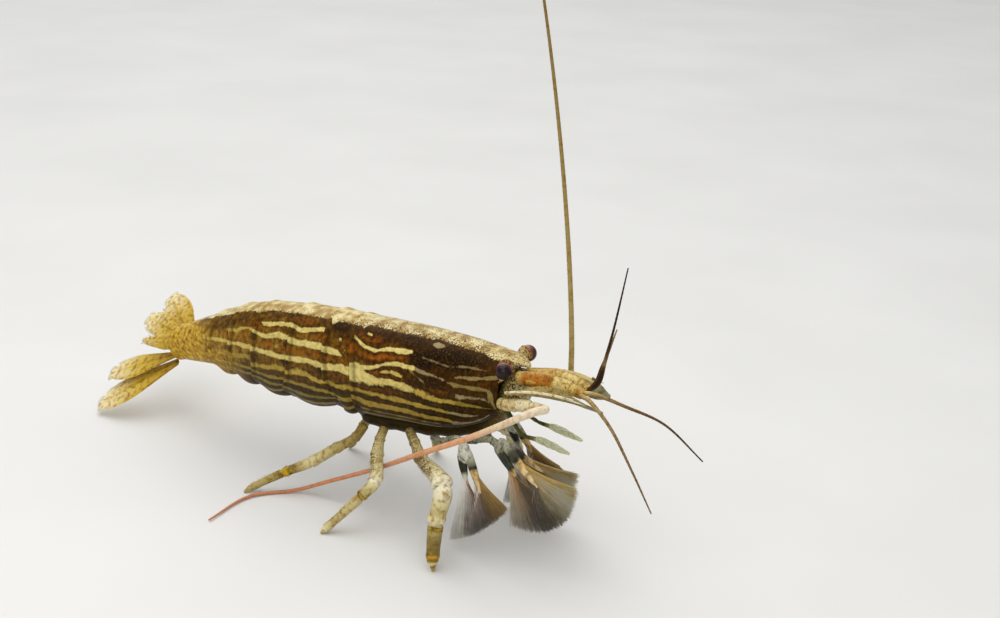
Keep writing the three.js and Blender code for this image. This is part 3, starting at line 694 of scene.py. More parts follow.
def frontDepth(points, along, around):
    degrees, places, halves = np.array(points).T
    depth = np.interp(around, degrees, halves)
    depth -= np.abs(along - np.interp(around, degrees, places))
    return np.where((around < degrees[0]) | (around > degrees[-1]), farOutside, depth)


# weights along the body (place, weight) and round it (degrees, weight)
plateShade = {
    "clean": [(-8, 0), (-2, 0), (10, 0.2), (14, 0.8), (40, 1)],
    "honeyAlong": [(7, 0), (13, 0.25), (20, 0.45), (28, 0.7), (35, 1.0)],
    "honeyRound": [(24, 0.2), (48, 0.3), (58, 1), (85, 1), (108, 0.25)],
    "frontAlong": [(-8, 0.8), (0, 1), (5, 0)],
    "frontRound": [(80, 0.5), (95, 0.7)],
    "goldAlong": [(36.5, 0), (40.5, 1)],
    "goldRound": [(8, 0), (38, 1)],
    "goldTail": [(40, 0), (41.6, 1)],
    "goldFlank": [(30, 0), (37, 0.75)],
    "goldFlankRound": [(80, 0), (92, 1)],
    # where the lower flank's own olive and its painted shade begin, and their weight round the body
    "lowFlankColourAndShadeStart": [(-8, 126), (9, 122), (11, 100), (30, 96)],  # in degrees
    "lowFlankColourAndShadeRound": [(80, 0), (100, 0.5)],
    "lipDarkAndShadeRound": [(30, 0), (45, 1), (100, 1), (120, 0.4)],
}


def paintPlate(piece, name):
    mesh = piece.data
    along, around = readLayer(mesh, "along"), np.abs(readLayer(mesh, "round"))

    def shade(word, places=along):
        return readTable(plateShade[word], places)

    depths = [(tone, lineDepth(points, along, around)) for tone, points in plateLines[name]]
    if name == "carapace":
        depths.append((frontLine[0], frontDepth(frontLine[1], along, around)))
    pale, tone = np.full(len(along), farOutside), np.zeros(len(along))
    for shadeOfLine, depth in depths:
        tone = np.where(depth > pale, shadeOfLine, tone)
        pale = np.maximum(pale, depth)
    gold = np.maximum(shade("goldAlong") * shade("goldRound", around), shade("goldTail"))
    gold = np.maximum(gold, shade("goldFlank") * shade("goldFlankRound", around))
    # the lower flank turns to its own darker olive and to painted shade toward the belly
    low = 0.85 * np.clip((around - shade("lowFlankColourAndShadeStart")) / 10, 0, 1)
    ember = cloudWeight(amberClouds, along, around)
    dusk = shade("frontAlong") * shade("frontRound", around) * (1 - np.minimum(ember, 1))
    dusk = np.maximum(cloudWeight(duskClouds, along, around), dusk)
    joint = joints[0 if name == "carapace" else int(name[-1])]
    ends = np.array([jointAt(joint, radians(a)) for a in around])
    # the dark band before the rear edge: partly the lip's own colour, partly painted shade at the
    # joint
    rim = np.exp(-(((ends - along - 0.42) / 0.28) ** 2))
    writeLayers(
        mesh, pale=pale, tone=tone, back=(readTable(backReach, along) - around) * 0.095,
        clean=shade("clean"), honey=shade("honeyAlong") * shade("honeyRound", around),
        ember=ember, dusk=dusk, gold=gold,
        belly=np.maximum(low, shade("lowFlankColourAndShadeRound", around)), rim=rim * shade("lipDarkAndShadeRound", around),
    )


# plates overlap like tiles: the front rings tuck under the plate before, the rear edge is a lip
shell = {
    "around": 300,
    "step": 0.16,       # between rings
    "tucked": [(-1.3, -0.75), (-0.9, -0.6), (-0.4, -0.42), (0.0, -0.28), (0.3, -0.12),
               (0.7, -0.03), (1.1, 0.0)],
    "lip": [(-0.7, 0.0), (-0.45, 0.03), (-0.2, 0.08), (0.0, 0.12), (0.16, 0.15), (0.27, 0.13),
            (0.31, 0.06), (0.27, -0.02), (0.1, -0.08), (-0.4, -0.22), (-0.8, -0.5)],
    "bellyRise": 1.5,   # the underside is drawn in between the flaps
    "rearSwell": 0.14,  # each plate widens toward its rear edge
    "tuckShare": 0.7,   # the second plate's flaps lie over both neighbours
    "firstTuck": 0.3,
}
# rounded flaps along the flank edge: depth, degrees round, half width, and how far each is
# scooped at its ends
flap = {"depth": 0.9, "lastDepth": 0.1, "degrees": 138, "half": 20, "scoop": 0.35}
front = {
    "edge": -9.9, "bow": 0.35, "rise": 0.9,
    "sag": 0.45,        # how far the carapace hangs low at the front
    # height back from the edge, degrees round and half width: an orbit behind the eye, a spine
    # below it and a rounded lower corner
    "bumps": [(0.35, 47, 11), (-0.75, 70, 3.5), (0.5, 150, 22)],
    "rim": [(0.0, 0.05), (-0.07, 0.02), (-0.1, -0.06), (0.0, -0.14), (0.5, -0.3)],
}


def bellyRise(degrees):
    return shell["bellyRise"] * smooth(147, 160, degrees)


def plateMesh(index):
    fore, rear = joints[index - 1], joints[index]
    depth = flap["lastDepth"] if index == 6 else flap["depth"]
    tucked, lip = shell["tucked"], shell["lip"]
    inner = max(2, round((rear[0] - fore[0] - 1.8) / shell["step"]))
    rows = len(tucked) + inner + len(lip)

    def shape(u, row):
        angle = 2 * pi * u - pi
        degrees = abs(angle) * 180 / pi
        start, end = jointAt(fore, angle), jointAt(rear, angle)
        flank = bump(degrees, hem["degrees"], 24)
        if row < len(tucked):
            offset, swell = tucked[row]
            y = start + offset
            if index == 2:
                swell *= 1 - shell["tuckShare"] * flank
        elif row < len(tucked) + inner:
            share = (row - len(tucked) + 1) / (inner + 1)
            y = (start + tucked[-1][0]) * (1 - share) + (end + lip[0][0]) * share
            swell = 0.0
        else:
            offset, swell = lip[row - len(tucked) - inner]
            y = end + offset
            if index == 1:
                swell -= shell["firstTuck"] * flank
        t = min(max((y - start) / (end - start), 0), 1)
        point = onTrunk(y, angle, swell + shell["rearSwell"] * t)
        lobe = depth * bump(degrees, flap["degrees"], flap["half"]) * (sin(t * pi) - flap["scoop"])
        point.z += (bellyRise(degrees) - lobe) * mm
        return point, y, angle * 180 / pi

    return wrapMesh(shell["around"], rows, shape, ("along", "round"))


rostrum = {
    "tip": (0, -12.7, 23.3),
    # station, half width, top, lower edge, from the tip back
    "roof": [(-12.7, 0.06, 23.34, 23.26), (-12.45, 0.4, 23.65, 23.1), (-11.9, 0.9, 23.95, 23.1),
             (-10.9, 1.65, 24.3, 23.3), (-10.15, 2.3, 24.35, 23.2)],
    "keel": 0.16, "keelHalf": 14,
    "rows": 22,
}


def carapaceFront(degrees):
    edge = front["edge"] + front["bow"] * max(0, cos(radians(degrees)))
    return edge + sum(high * bump(degrees, centre, half) for high, centre, half in front["bumps"])


def rostrumPoint(angle, degrees, share):
    # the roof narrows to the rostrum's tip
    roof = rostrum["roof"]
    y = roof[-1][0] * (1 - share) + roof[0][0] * share
    if share == 1:
        return placeBent(*rostrum["tip"]), y, 0.0
    half, top, low = readRows(roof, y)
    z = (top + low) / 2 + (top - low) / 2 * cos(angle)
    z += rostrum["keel"] * bump(degrees, 0, rostrum["keelHalf"]) * (1 - share)
    return placeBent(half * sin(angle), y, z), y, degrees * 0.25


def carapaceMesh():
    lip, rim = list(reversed(shell["lip"])), front["rim"]
    inner = round((joints[0][0] - front["edge"] - 1.0) / shell["step"])
    body = len(lip) + inner
    rows = body + len(rim) + rostrum["rows"]

    def shape(u, row):
        angle = 2 * pi * u - pi
        degrees = abs(angle) * 180 / pi
        edge, rear = carapaceFront(degrees), jointAt(joints[0], angle)
        fold = smooth(32, 55, degrees)
        if row < len(lip):
            offset, swell = lip[row]
            y = rear + offset
        elif row < body:
            share = (row - len(lip) + 1) / inner
            y = (rear + lip[-1][0]) * (1 - share) + edge * share
            swell = 0.1 * smooth(0.96, 1, share) * fold
        elif row < body + len(rim):
            offset, swell = rim[row - body]
            y = edge + offset * fold
            swell = (swell + 0.05) * fold
        else:
            return rostrumPoint(angle, degrees, (row - body - len(rim) + 1) / rostrum["rows"])
        point = onTrunk(y, angle, swell)
        point.z += mm * front["rise"] * smooth(150, 163, degrees)
        point.z -= mm * front["sag"] * bump(degrees, 140, 26) * bump(y, -3.5, 6)
        return point, y, angle * 180 / pi

    return wrapMesh(shell["around"], rows, shape, ("along", "round"))


chitin = pigmentedChitin()
paintPlate(addPiece("carapaceShell", carapaceMesh(), chitin, ["carapace"]),
           "carapace")
for index, slot in enumerate(["shell_dark"] + ["shell_banded"] * 4 + ["tail_gold"], 1):
    name = f"abdomen_{index}"
    paintPlate(addPiece(f"plate_{index}", plateMesh(index), chitin, [name]), name)
print("shell plates")


def cuticle(name, colours, speckle, finish=(0.3, 0.5), glow=0.0, blotches=0.24,
            shadow="#b59a68", gleam="#d8b070"):
    # Thin uncalcified cuticle over flesh: soft wet gloss, mottled, with brown pigment cells of
    # about 0.15 mm. colours run over the attribute tint, and speck says how thick the cells lie.
    material, shader, add = newMaterial(
        name, IOR=1.48, Specular_IOR_Level=0.18, Specular_Tint=hexColour(gleam),
        Coat_Weight=0.03, Coat_Roughness=0.2, Subsurface_Weight=glow, Subsurface_Scale=0.0006,
    )
    spot = add("TexCoord")
    tint, thick = [add("Attribute", attribute_name=word) for word in ("tint", "speck")]
    mottle = add("TexNoise", {"Vector": spot, "Scale": 1500, "Detail": 4})
    cells = add("TexNoise", {"Vector": spot, "Scale": 5200, "Detail": 3})
    moved = add("Math", (mottle, blotches, -0.5 * blotches), operation="MULTIPLY_ADD")
    shifted = add("Math", (tint, moved), operation="ADD", use_clamp=True)
    base = add("ValToRGB", [shifted], colours)
    shade = add("MapRange", (mottle, 0.32, 0.54, 1.0, 0.0))
    base = add("Mix", {0: shade, 6: base, 7: hexColour(shadow)}, data_type="RGBA",
               blend_type="MULTIPLY")
    limit = add("MapRange", (thick, 0.0, 1.0, 0.76, 0.42))
    over = add("Math", (cells, limit), operation="SUBTRACT")
    dots = add("MapRange", (over, 0.0, 0.05, 0.0, 0.9))
    whole = add("Mix", {0: dots, 6: base, 7: hexColour(speckle)}, data_type="RGBA")
    gloss = add("MapRange", (mottle, 0.3, 0.7, *finish))
    pores = add("Bump", {"Height": cells, "Strength": 0.3, "Distance": 0.00005})
    dimples = add("Bump", {"Height": mottle, "Strength": 0.4, "Distance": 0.0002, "Normal": pores})
    feed(shader, Base_Color=whole, Roughness=gloss, Normal=dimples)
    return material


# one skin from the head block along the breast and under the abdomen
skin = {
    "around": 120,
    # station, half width, middle height, half height, power: the head block and the mouth
    "head": [
        (-12.55, 0.5, 20.3, 0.6, 2.2), (-12.5, 1.2, 20.25, 1.5, 2.4),
        (-12.3, 1.7, 20.2, 1.95, 2.5), (-12.0, 2.05, 20.1, 2.25, 2.6),
        (-11.6, 2.35, 19.95, 2.45, 2.6), (-11.1, 2.6, 19.9, 2.55, 2.6),
        (-10.6, 2.6, 19.8, 2.55, 2.6), (-10.1, 2.5, 19.4, 2.6, 2.6),
        (-9.6, 2.3, 18.6, 2.7, 2.6), (-9.0, 2.1, 17.4, 2.6, 2.5),
        (-8.5, 1.9, 16.6, 2.3, 2.5), (-8.0, 1.7, 15.9, 2.0, 2.5),
    ],
    # station, half width, foot and top beside the shell's lower edge
    "breast": [
        (-7.2, 1.5, -1.3, 1.2), (-6.0, 1.95, -1.5, 1.2), (-4.0, 2.2, -1.6, 1.1),
        (-1.0, 2.35, -1.6, 1.0), (2.0, 2.4, -1.6, 1.0), (5.0, 2.4, -1.6, 1.0),
        (8.0, 2.4, -1.55, 1.0), (10.5, 2.2, -1.3, 1.0), (11.6, 1.7, -0.6, 1.2),
        (12.6, 1.9, 0.0, 1.8),
    ],
    # station and share of the trunk's half width: the soft belly between the flaps
    "belly": [(14, 0.52), (20, 0.55), (26, 0.55), (32, 0.55), (38, 0.5), (43, 0.45), (45.6, 0.3)],
    "rollsFrom": 12,    # where it starts to roll with the tail
    "ribs": {"from": -7, "to": 11.5, "high": 0.1, "apart": 3.4},  # one to each pair of legs
    # pale at the head, darker back under the body: partly the skin's own olive brown, partly painted
    # shade under the body
    "tint": [(-12.6, 0), (-11.2, 0.12), (-9.8, 0.42), (-8.6, 0.6), (-6, 0.85), (13, 0.95),
             (40, 0.7)],
    "speck": [(-12.6, 0.75), (-10, 0.85), (-8, 0.4), (12, 0.4)],
}


def skinRows():
    rows = list(skin["head"])
    for y, half, foot, top in skin["breast"]:
        low = trunkAt(y)[1]
        rows.append((y, half, low + (foot + top) / 2, (top - foot) / 2, 2.6))
    for y, share in skin["belly"]:
        top, low, half = trunkAt(y)[:3]
        rows.append((y, half * share, low + 2.0, 0.75, 2.4))
    return rows


def skinMesh():
    table = skinRows()
    first, last, bent = table[0][0], table[-1][0], skin["rollsFrom"]
    stations = [first - 0.02, *np.arange(first, 13, 0.14), *np.arange(13, last, 0.25), last,
                last + 0.05]
    ribs = skin["ribs"]

    def shape(u, row):
        y = stations[row]
        half, middle, tall, n = readRows(table, min(max(y, first), last))
        close = 0.0 if row in (0, len(stations) - 1) else 1.0
        angle = 2 * pi * u
        rib = 0
        if ribs["from"] < y < ribs["to"]:
            rib = ribs["high"] * bump(angle, pi, 1.2) * sin((y + 0.6) * 2 * pi / ribs["apart"])
        dx = (half + rib) * close * power(sin(angle), n)
        dz = (tall + rib) * close * power(cos(angle), n)
        point = (insideTrunk if y > bent else placeBent)(dx, y, middle + dz)
        return point, y, angle * 180 / pi

    return wrapMesh(skin["around"], len(stations), shape, ("along", "round"))


underSkin = cuticle("arthrodial skin", [
    (0.0, "#cbc193"), (0.2, "#a89a5e"), (0.38, "#80733a"), (0.55, "#5a4a1a"), (0.75, "#3a2f0d"),
    (1.0, "#251d08"),
], "#33220b", glow=0.04, blotches=0.8)
body = addPiece("bodySkin", skinMesh(), underSkin, ["head", "thorax"])
along = readLayer(body.data, "along")
writeLayers(body.data, tint=readTable(skin["tint"], along), speck=readTable(skin["speck"], along))
print("skin of head and belly")


eyes = {
    "around": 72, "rows": 60,
    "look": (0.85, -0.5, -0.1),   # outward axis of the left eye, mirrored for the right
    "stalk": [(1.5, -9.6, 23.0), (2.0, -10.1, 23.2), (2.45, -10.48, 23.42), (2.82, -10.7, 23.56)],
    "stalkRadii": [0.6, 0.72, 0.98, 1.1],
}


def corneaLens():
    # Faceted cornea over dark screening pigment: nearly black plum with a tan rim, smooth as
    # glass, with 0.07 mm facets.
    material, shader, add = newMaterial(
        "faceted cornea", IOR=1.42, Specular_IOR_Level=0.2, Coat_Weight=0.25,
        Coat_Roughness=0.06,
    )
    spot = add("TexCoord")
    rise = add("Attribute", attribute_name="rise")
    cloud = add("TexNoise", {"Vector": spot, "Scale": 1800, "Detail": 3})
    mixed = add("Math", (cloud, 0.3, rise), operation="MULTIPLY_ADD")
    colour = add("ValToRGB", [mixed], [
        (0.36, "#b8925f"), (0.5, "#9c6f50"), (0.64, "#73423e"), (0.78, "#431a20"),
        (0.93, "#1c060a"),
    ])
    facets = add("TexVoronoi", {"Vector": spot, "Scale": 14000})
    bumpy = add("Bump", {"Height": facets, "Strength": 0.15, "Distance": 0.00002})
    rough = add("MapRange", (cloud, 0.0, 1.0, 0.12, 0.24))
    feed(shader, Base_Color=colour, Roughness=rough, Normal=bumpy)
    return material


def eyeMesh(sign):
    # turned about its outward axis, a little flattened where it joins the stalk
    centre = bend(sign * eyeBall["x"], eyeBall["y"], eyeBall["z"])
    x, y, z = eyes["look"]
    turn = Vector((sign * x, y, z)).to_track_quat("Z", "Y")

    def shape(u, row):
        polar = pi * row / (eyes["rows"] - 1)
        angle = 2 * pi * u
        radius = eyeBall["radius"] * (1 - 0.1 * smooth(110, 180, polar * 180 / pi))
        local = Vector((sin(polar) * cos(angle), sin(polar) * sin(angle), cos(polar)))
        return place(centre + turn @ local * radius), (1 + cos(polar)) / 2

    return wrapMesh(eyes["around"], eyes["rows"], shape, ("rise",))


cornea = corneaLens()
stalkSkin = cuticle("eyestalk cuticle", [
    (0.0, "#b8bd9a"), (0.4, "#c2ab74"), (0.7, "#ab854c"), (1.0, "#8f6238"),
], "#3f2412")
for word, sign in sides:
    addPiece(f"cornea_{word}", eyeMesh(sign), cornea, [f"eye_{word}"])
    stalk = limbMesh(mirrored(eyes["stalk"], sign), eyes["stalkRadii"], {"rows": 26, "around": 40})
    addPiece(f"stalk_{word}", stalk, stalkSkin, [f"eyestalk_{word}"],
             [(0, 0), (0.35, 0.2), (1, 0.7)], [(0, 0.4), (0.6, 0.7), (1, 0.9)])
print("eyes")


# Antennules: three articles with rings at their joints, and two whips each
antennule = {
    "points": [(1.3, -11.7, 22.05), (1.4, -15.2, 22.35), (1.35, -17.6, 22.3), (1.35, -19.9, 21.75)],
    "radii": [0.84, 1.02, 0.85, 0.6],
    "leftDrop": 0.45,
    "joints": [0.48, 0.78], "knuckle": (0.09, 0.025, 0.02, 0.17, 0.008, 0.012),
    "rows": 110, "around": 48,
    "lobe": [(2.35, -13.2, 22.2), (2.2, -15.6, 22.5)], "lobeWidth": 0.32,  # beside its base
    "tint": [(0, 0.3), (0.48, 0.3), (0.52, 0.12), (0.7, 0.16), (0.78, 0.3), (0.86, 0.2), (1, 0.35)],
    "speck": [(0, 0.55), (0.5, 0.45), (1, 0.5)],
    # orange patches: share of its length, its half, and strength
    "orange": [(0.13, 0.06, 0.5), (0.26, 0.07, 0.5), (0.4, 0.07, 0.5), (0.92, 0.06, 0.3)],
}


def antennuleSwell(t, angle):
    bulge = 0.05 * bump(t, 0.3, 0.12) * cos(angle)
    return knuckles(antennule, t) + bulge + 0.03 * sin(3 * angle + 9 * t)


headSkin = cuticle("antennule cuticle", [
    (0.0, "#e6d798"), (0.3, "#cfb366"), (0.5, "#bd9246"), (0.75, "#b0702a"), (1.0, "#a05212"),
], "#4d2c0c", glow=0.06, blotches=0.6)
for word, sign in sides:
    drop = antennule["leftDrop"] if sign > 0 else 0
    points = mirrored(antennule["points"], sign, drop)
    stem = limbMesh(points, antennule["radii"], antennule, antennuleSwell)
    addCone(stem, *mirrored(antennule["lobe"], sign, drop), antennule["lobeWidth"], 0.4)
    stem = addPiece(f"peduncle_{word}", stem, headSkin, [f"antennule_{word}"],
                    antennule["tint"], antennule["speck"])
    reach, flank, tint = [readLayer(stem.data, layer) for layer in ("reach", "flank", "tint")]
    for middle, half, strength in antennule["orange"]:
        patch = np.exp(-(((reach - middle) / half) ** 4))
        tint += patch * strength * np.clip(0.4 - sign * flank, 0.05, 1)
    writeLayers(stem.data, tint=tint)


# Whips: ringed lashes of the antennules, each from a root inside the stalk it grows from. tint
# runs from 0 gold through 0.5 tan to 1 dark brown.
whip = {
    "rows": 240, "around": 12, "rings": 46, "depth": 0.05,
    "roots": {"inner": (1.0, -19.7, 21.75), "outer": (1.6, -19.7, 21.75)},
    "radii": {"right": [0.3, 0.26, 0.2, 0.14, 0.08], "left": [0.34, 0.34, 0.24, 0.14, 0.08]},
    "speck": [(0, 0.25), (0.5, 0.45), (1, 0.6)],
}
whips = {
    "outer_right": {
        "points": [(-1.3, -22.6, 22.3), (-2.3, -26.0, 20.4), (-2.3, -29.1, 16.1), (-2.3, -32.1, 11.5)],
        "tint": [(0, 0.4), (0.12, 0.15), (0.3, 0.3), (0.6, 0.45), (1, 0.55)],
    },
    "inner_right": {
        "points": [(0.5, -22.1, 22.5), (0.6, -26.1, 22.1), (0.5, -31.4, 21.4), (0.3, -36.6, 18.5)],
        "tint": [(0, 0.1), (0.16, 0.05), (0.3, 0.35), (0.6, 0.65), (1, 0.9)],
    },
    "outer_left": {
        "points": [(3.6, -20.5, 22.6), (3.7, -21.0, 24.6), (3.9, -21.6, 26.6), (4.1, -22.4, 29.6)],
        "tint": [(0, 0.5), (0.2, 0.85), (0.6, 0.9), (0.8, 0.5), (1, 0.4)],
    },
    "inner_left": {
        "points": [(2.6, -21.3, 23.2), (2.7, -21.9, 25.9), (2.9, -22.7, 30.4), (3.1, -23.8, 37.7)],
        "tint": [(0, 0.6), (0.15, 0.95), (0.4, 0.95), (0.48, 0.4), (0.6, 0.9), (1, 1)],
    },
}


def ringed(form):
    # a swell that gives a lash its rings
    return lambda t, angle: 1 + form["depth"] * sin(2 * pi * form["rings"] * t)


lash = cuticle("ringed lash cuticle", [
    (0.0, "#cdb170"), (0.35, "#a08a5c"), (0.6, "#6e5230"), (1.0, "#21140b"),
], "#2c1c0c")
for name, lashForm in whips.items():
    rank, word = name.split("_")
    sign = dict(sides)[word]
    root = mirrored([whip["roots"][rank]], sign, antennule["leftDrop"] if sign > 0 else 0)
    mesh = limbMesh(root + lashForm["points"], whip["radii"][word], whip, ringed(whip))
    addPiece(f"whip_{name}", mesh, lash, [f"flagellum_{name}"],
             lashForm["tint"], whip["speck"])


# Antennae: the right one folds back along the body and trails on the floor
feeler = {"rows": 520, "around": 14, "rings": 130, "depth": 0.04, "up": (1, 0.2, 0),
          "speck": [(0, 0.25), (0.1, 0.1), (1, 0.2)]}
feelers = {
    "right": {
        "points": [
            (-3.1, -17.6, 20.6), (-4.3, -18.3, 21.1), (-5.5, -17.6, 21.0), (-6.3, -15.7, 19.8),
            (-7.2, -10.3, 16.3), (-8.3, -3.2, 12.2), (-5.2, 6.4, 5.9), (-6.6, 12.9, 2.6),
            (-7.9, 17.2, 0.5), (-12.6, 20.9, 0.28), (-20.4, 20.4, 0.28),
        ],
        "radii": [0.44, 0.5, 0.5, 0.44, 0.38, 0.34, 0.3, 0.27, 0.24, 0.2, 0.12],
        "tint": [(0, 0.3), (0.1, 0.1), (0.3, 0.12), (0.42, 0.5), (0.6, 0.75), (1, 0.9)],
        "slot": "feeler_salmon",
        "skin": cuticle("rosy antenna cuticle", [
            (0.0, "#ece2cb"), (0.25, "#dfc9a6"), (0.5, "#d7a078"), (0.8, "#c98a62"), (1.0, "#b07652"),
        ], "#8f5f3c", glow=0.06, blotches=0.15, shadow="#e6d2c0"),
    },
    "left": {
        "points": [
            (6.5, -15.2, 20.6), (6.7, -15.0, 21.7), (6.8, -14.8, 25.0), (7.0, -13.9, 33.0),
            (7.8, -12.0, 43.0), (8.8, -9.4, 54.0), (9.8, -6.6, 64.0), (10.8, -3.4, 74.0),
        ],
        "radii": [0.42, 0.36, 0.33, 0.3, 0.26, 0.22, 0.18, 0.12],
        "tint": [(0, 0.2), (0.2, 0.35), (0.5, 0.6), (1, 1)],
        "slot": "feeler_brown",
        "skin": cuticle("olive antenna cuticle", [
            (0.0, "#cfc08c"), (0.35, "#b3a064"), (0.7, "#97804a"), (1.0, "#7d653c"),
        ], "#5c4420", glow=0.06, blotches=0.15, shadow="#d6c49a"),
    },
}
for word, form in feelers.items():
    mesh = limbMesh(form["points"], form["radii"], feeler, ringed(feeler), floor=word == "right")
    addPiece(f"feeler_{word}", mesh, form["skin"], [f"antenna_{word}"],
             form["tint"], feeler["speck"])
print("antennules and feelers")


def bladeMesh(root, tip, widths, settings, relief=None):
    # a thin blade; relief(t, across) raises its upper face; layers reach and flank
    root, tip = Vector(root), Vector(tip)
    along = (tip - root).normalized()
    across = Vector(settings.get("side", (1, 0, 0)))
    across = (across - along * across.dot(along)).normalized()
    face = across.cross(along).normalized()
    lean, thick = settings.get("lean", 0), settings["thick"]
    stations = roundedRows(settings["rows"], 5)

    def shape(u, row):
        t, scale, push = stations[row]
        angle = 2 * pi * u
        half = mixAt(widths, t)
        c, s = power(cos(angle), 2.2), power(sin(angle), 2.2)
        hollow = max(-c * settings.get("outward", 0), 0) ** 2 * sin(pi * min(1.25 * t, 1))
        centre = root.lerp(tip, t) + across * (lean * sin(t * pi))
        centre.z += settings.get("curl", 0) * hollow - settings.get("droop", 0) * t * t
        centre += along * push * min(half, 0.9)
        thin = thick * min(1, 0.75 + half / 8) * (1 - settings.get("lens", 0.5) * c * c)
        point = centre + across * (half * scale * c) + face * (thin * scale * s)
        if relief:
            point += face * relief(t, c) * scale * max(s, 0)
        return place(point), t, c

    return wrapMesh(settings["around"], len(stations), shape, ("reach", "flank"))


# Antennal scales: a leaf with a thick pale outer margin that ends in a spine
scaleBlade = {
    "root": (3.75, -11.4, 20.85), "tips": {"right": (3.2, -23.1, 23.9), "left": (2.5, -21.8, 23.4)},
    "widths": [0.6, 0.95, 1.2, 1.35, 1.45, 1.4, 1.1, 0.45], "roll": 38, "droop": 3.0,
    "thick": 0.22, "lean": 0.25, "lens": 0.45, "rows": 130, "around": 96, "rib": 0.24,
    "curl": 1.7,    # the inner edge turns up against the antennule
    "tint": [(0, 0.5), (0.25, 0.5), (0.6, 0.75), (1, 1.0)],
    "speck": [(0, 0.45), (0.5, 0.35), (1, 0.1)],
    "margin": {"from": 0.5, "over": 0.2, "end": 0.9, "fade": 0.1, "right": 0.02, "left": 0.4},
    "spine": {"share": 0.74, "out": 1.3, "in": 0.2, "sink": 0.55,  # ends the thick margin
              "long": 1.5, "dip": 0.35, "wide": 0.2},
}
scaleSkin = cuticle("antennal scale cuticle", [
    (0.0, "#efe8cc"), (0.3, "#d6c48c"), (0.55, "#b09c5c"), (0.8, "#8c8558"), (1.0, "#7d7f66"),
], "#5c4420", (0.25, 0.4), 0.1, 0.34)
for word, sign in sides:
    ends = scaleBlade["root"], scaleBlade["tips"][word]
    turn = radians(scaleBlade["roll"])
    rolledSide = Vector((cos(turn), 0, sign * sin(turn)))
    settings = scaleBlade | {"lean": -scaleBlade["lean"] * sign, "side": rolledSide,
                             "outward": sign}

    def scaleRelief(t, across, outward=sign):
        edge = across * outward
        rib = scaleBlade["rib"] * bump(edge, 0.86, 0.16) * smooth(1.0, 0.7, t)
        return rib + 0.1 * bump(edge, 0.1, 0.12) * smooth(0.9, 0.5, t)

    mesh = bladeMesh(*mirrored(ends, sign), scaleBlade["widths"], settings, scaleRelief)
    spine = scaleBlade["spine"]
    end = Vector(ends[0]).lerp(Vector(ends[1]), spine["share"])
    end += Vector((spine["out"] * cos(turn) - spine["in"], 0,
                   spine["out"] * sin(turn) - scaleBlade["droop"] * spine["sink"]))
    point = (end.x, end.y - spine["long"], end.z - spine["dip"])
    addCone(mesh, *mirrored([end, point], sign), spine["wide"], 0.7)
    leaf = addPiece(f"antennalScale_{word}", mesh, scaleSkin, [f"scale_{word}"],
                    scaleBlade["tint"], scaleBlade["speck"])
    reach, flank, tint, speck = [
        readLayer(leaf.data, layer) for layer in ("reach", "flank", "tint", "speck")]
    rim = scaleBlade["margin"]
    margin = np.clip((flank * sign - rim["from"]) / rim["over"], 0, 1)
    margin *= np.clip((rim["end"] - reach) / rim["fade"], 0, 1)
    writeLayers(leaf.data, tint=tint * (1 - margin) + rim[word] * margin,
                speck=speck * (1 - margin))


# Peduncle of each antenna, three articles
antennaStem = {
    "points": [(3.4, -10.5, 19.2), (3.6, -11.2, 19.3), (4.1, -13.6, 19.9), (4.9, -16.7, 20.5)],
    "radii": [0.72, 0.78, 0.76, 0.52], "rows": 80, "around": 44, "joints": [0.3, 0.56, 0.8],
    "knuckle": (0.1, 0.035, 0.03, 0.18, 0.01, 0.016),
    "tint": [(0, 0.5), (0.25, 0.3), (0.3, 0.6), (0.36, 0.25), (0.55, 0.35), (0.6, 0.15), (1, 0.2)],
    "speck": [(0, 0.5), (0.3, 0.5), (0.5, 0.45), (1, 0.35)],
}


def stemSwell(t, angle):
    return knuckles(antennaStem, t, 1 + 0.03 * sin(2 * angle + 5 * t))


for word, sign in sides:
    stem = mirrored(antennaStem["points"], sign)
    stem = limbMesh(stem, antennaStem["radii"], antennaStem, stemSwell)
    addPiece(f"antennaStem_{word}", stem, scaleSkin, [f"antenna_base_{word}"],
             antennaStem["tint"], antennaStem["speck"])
print("antennal scales and stems")


def plumose(name, fanColours, tipColours, sheen=0.3):
    # Plumose setae, fine chitin bristles: streaky, a soft sheen along them. The attribute fan
    # runs across a tuft and reach along each bristle.
    material, shader, add = newMaterial(
        name, IOR=1.5, Roughness=0.45, Sheen_Weight=sheen, Sheen_Roughness=0.4,
    )
    fan, reach = [add("Attribute", attribute_name=word) for word in ("fan", "reach")]
    spot = add("TexCoord")
    cloud = add("TexNoise", {"Vector": spot, "Scale": 900, "Detail": 3})
    moved = add("Math", (cloud, 0.2, -0.1), operation="MULTIPLY_ADD")
    across = add("Math", (fan, moved), operation="ADD", use_clamp=True)
    near, far = [add("ValToRGB", [across], ramp) for ramp in (fanColours, tipColours)]
    whole = add("Mix", {0: reach, 6: near, 7: far}, data_type="RGBA")
    ridges = add("TexNoise", {"Vector": spot, "Scale": 9000, "Detail": 2})
    bumpy = add("Bump", {"Height": ridges, "Strength": 0.3, "Distance": 0.00003})
    feed(shader, Base_Color=whole, Normal=bumpy)
    return material


def onLimb(points, radii, up, shares, angles):
    # roots on a limb's skin, with the directions along it and outward there
    line, up = lineThrough(points), Vector(up)
    spots, alongs, outs = [], [], []
    for t, angle in zip(shares, angles):
        centre, along, side, rise = limbFrame(line, up, t)
        out = side * cos(angle) + rise * sin(angle)
        spots.append(centre + out * mixAt(radii, t) * 0.92)
        alongs.append(along)
        outs.append(out)
    return np.array(spots), np.array(alongs), np.array(outs)


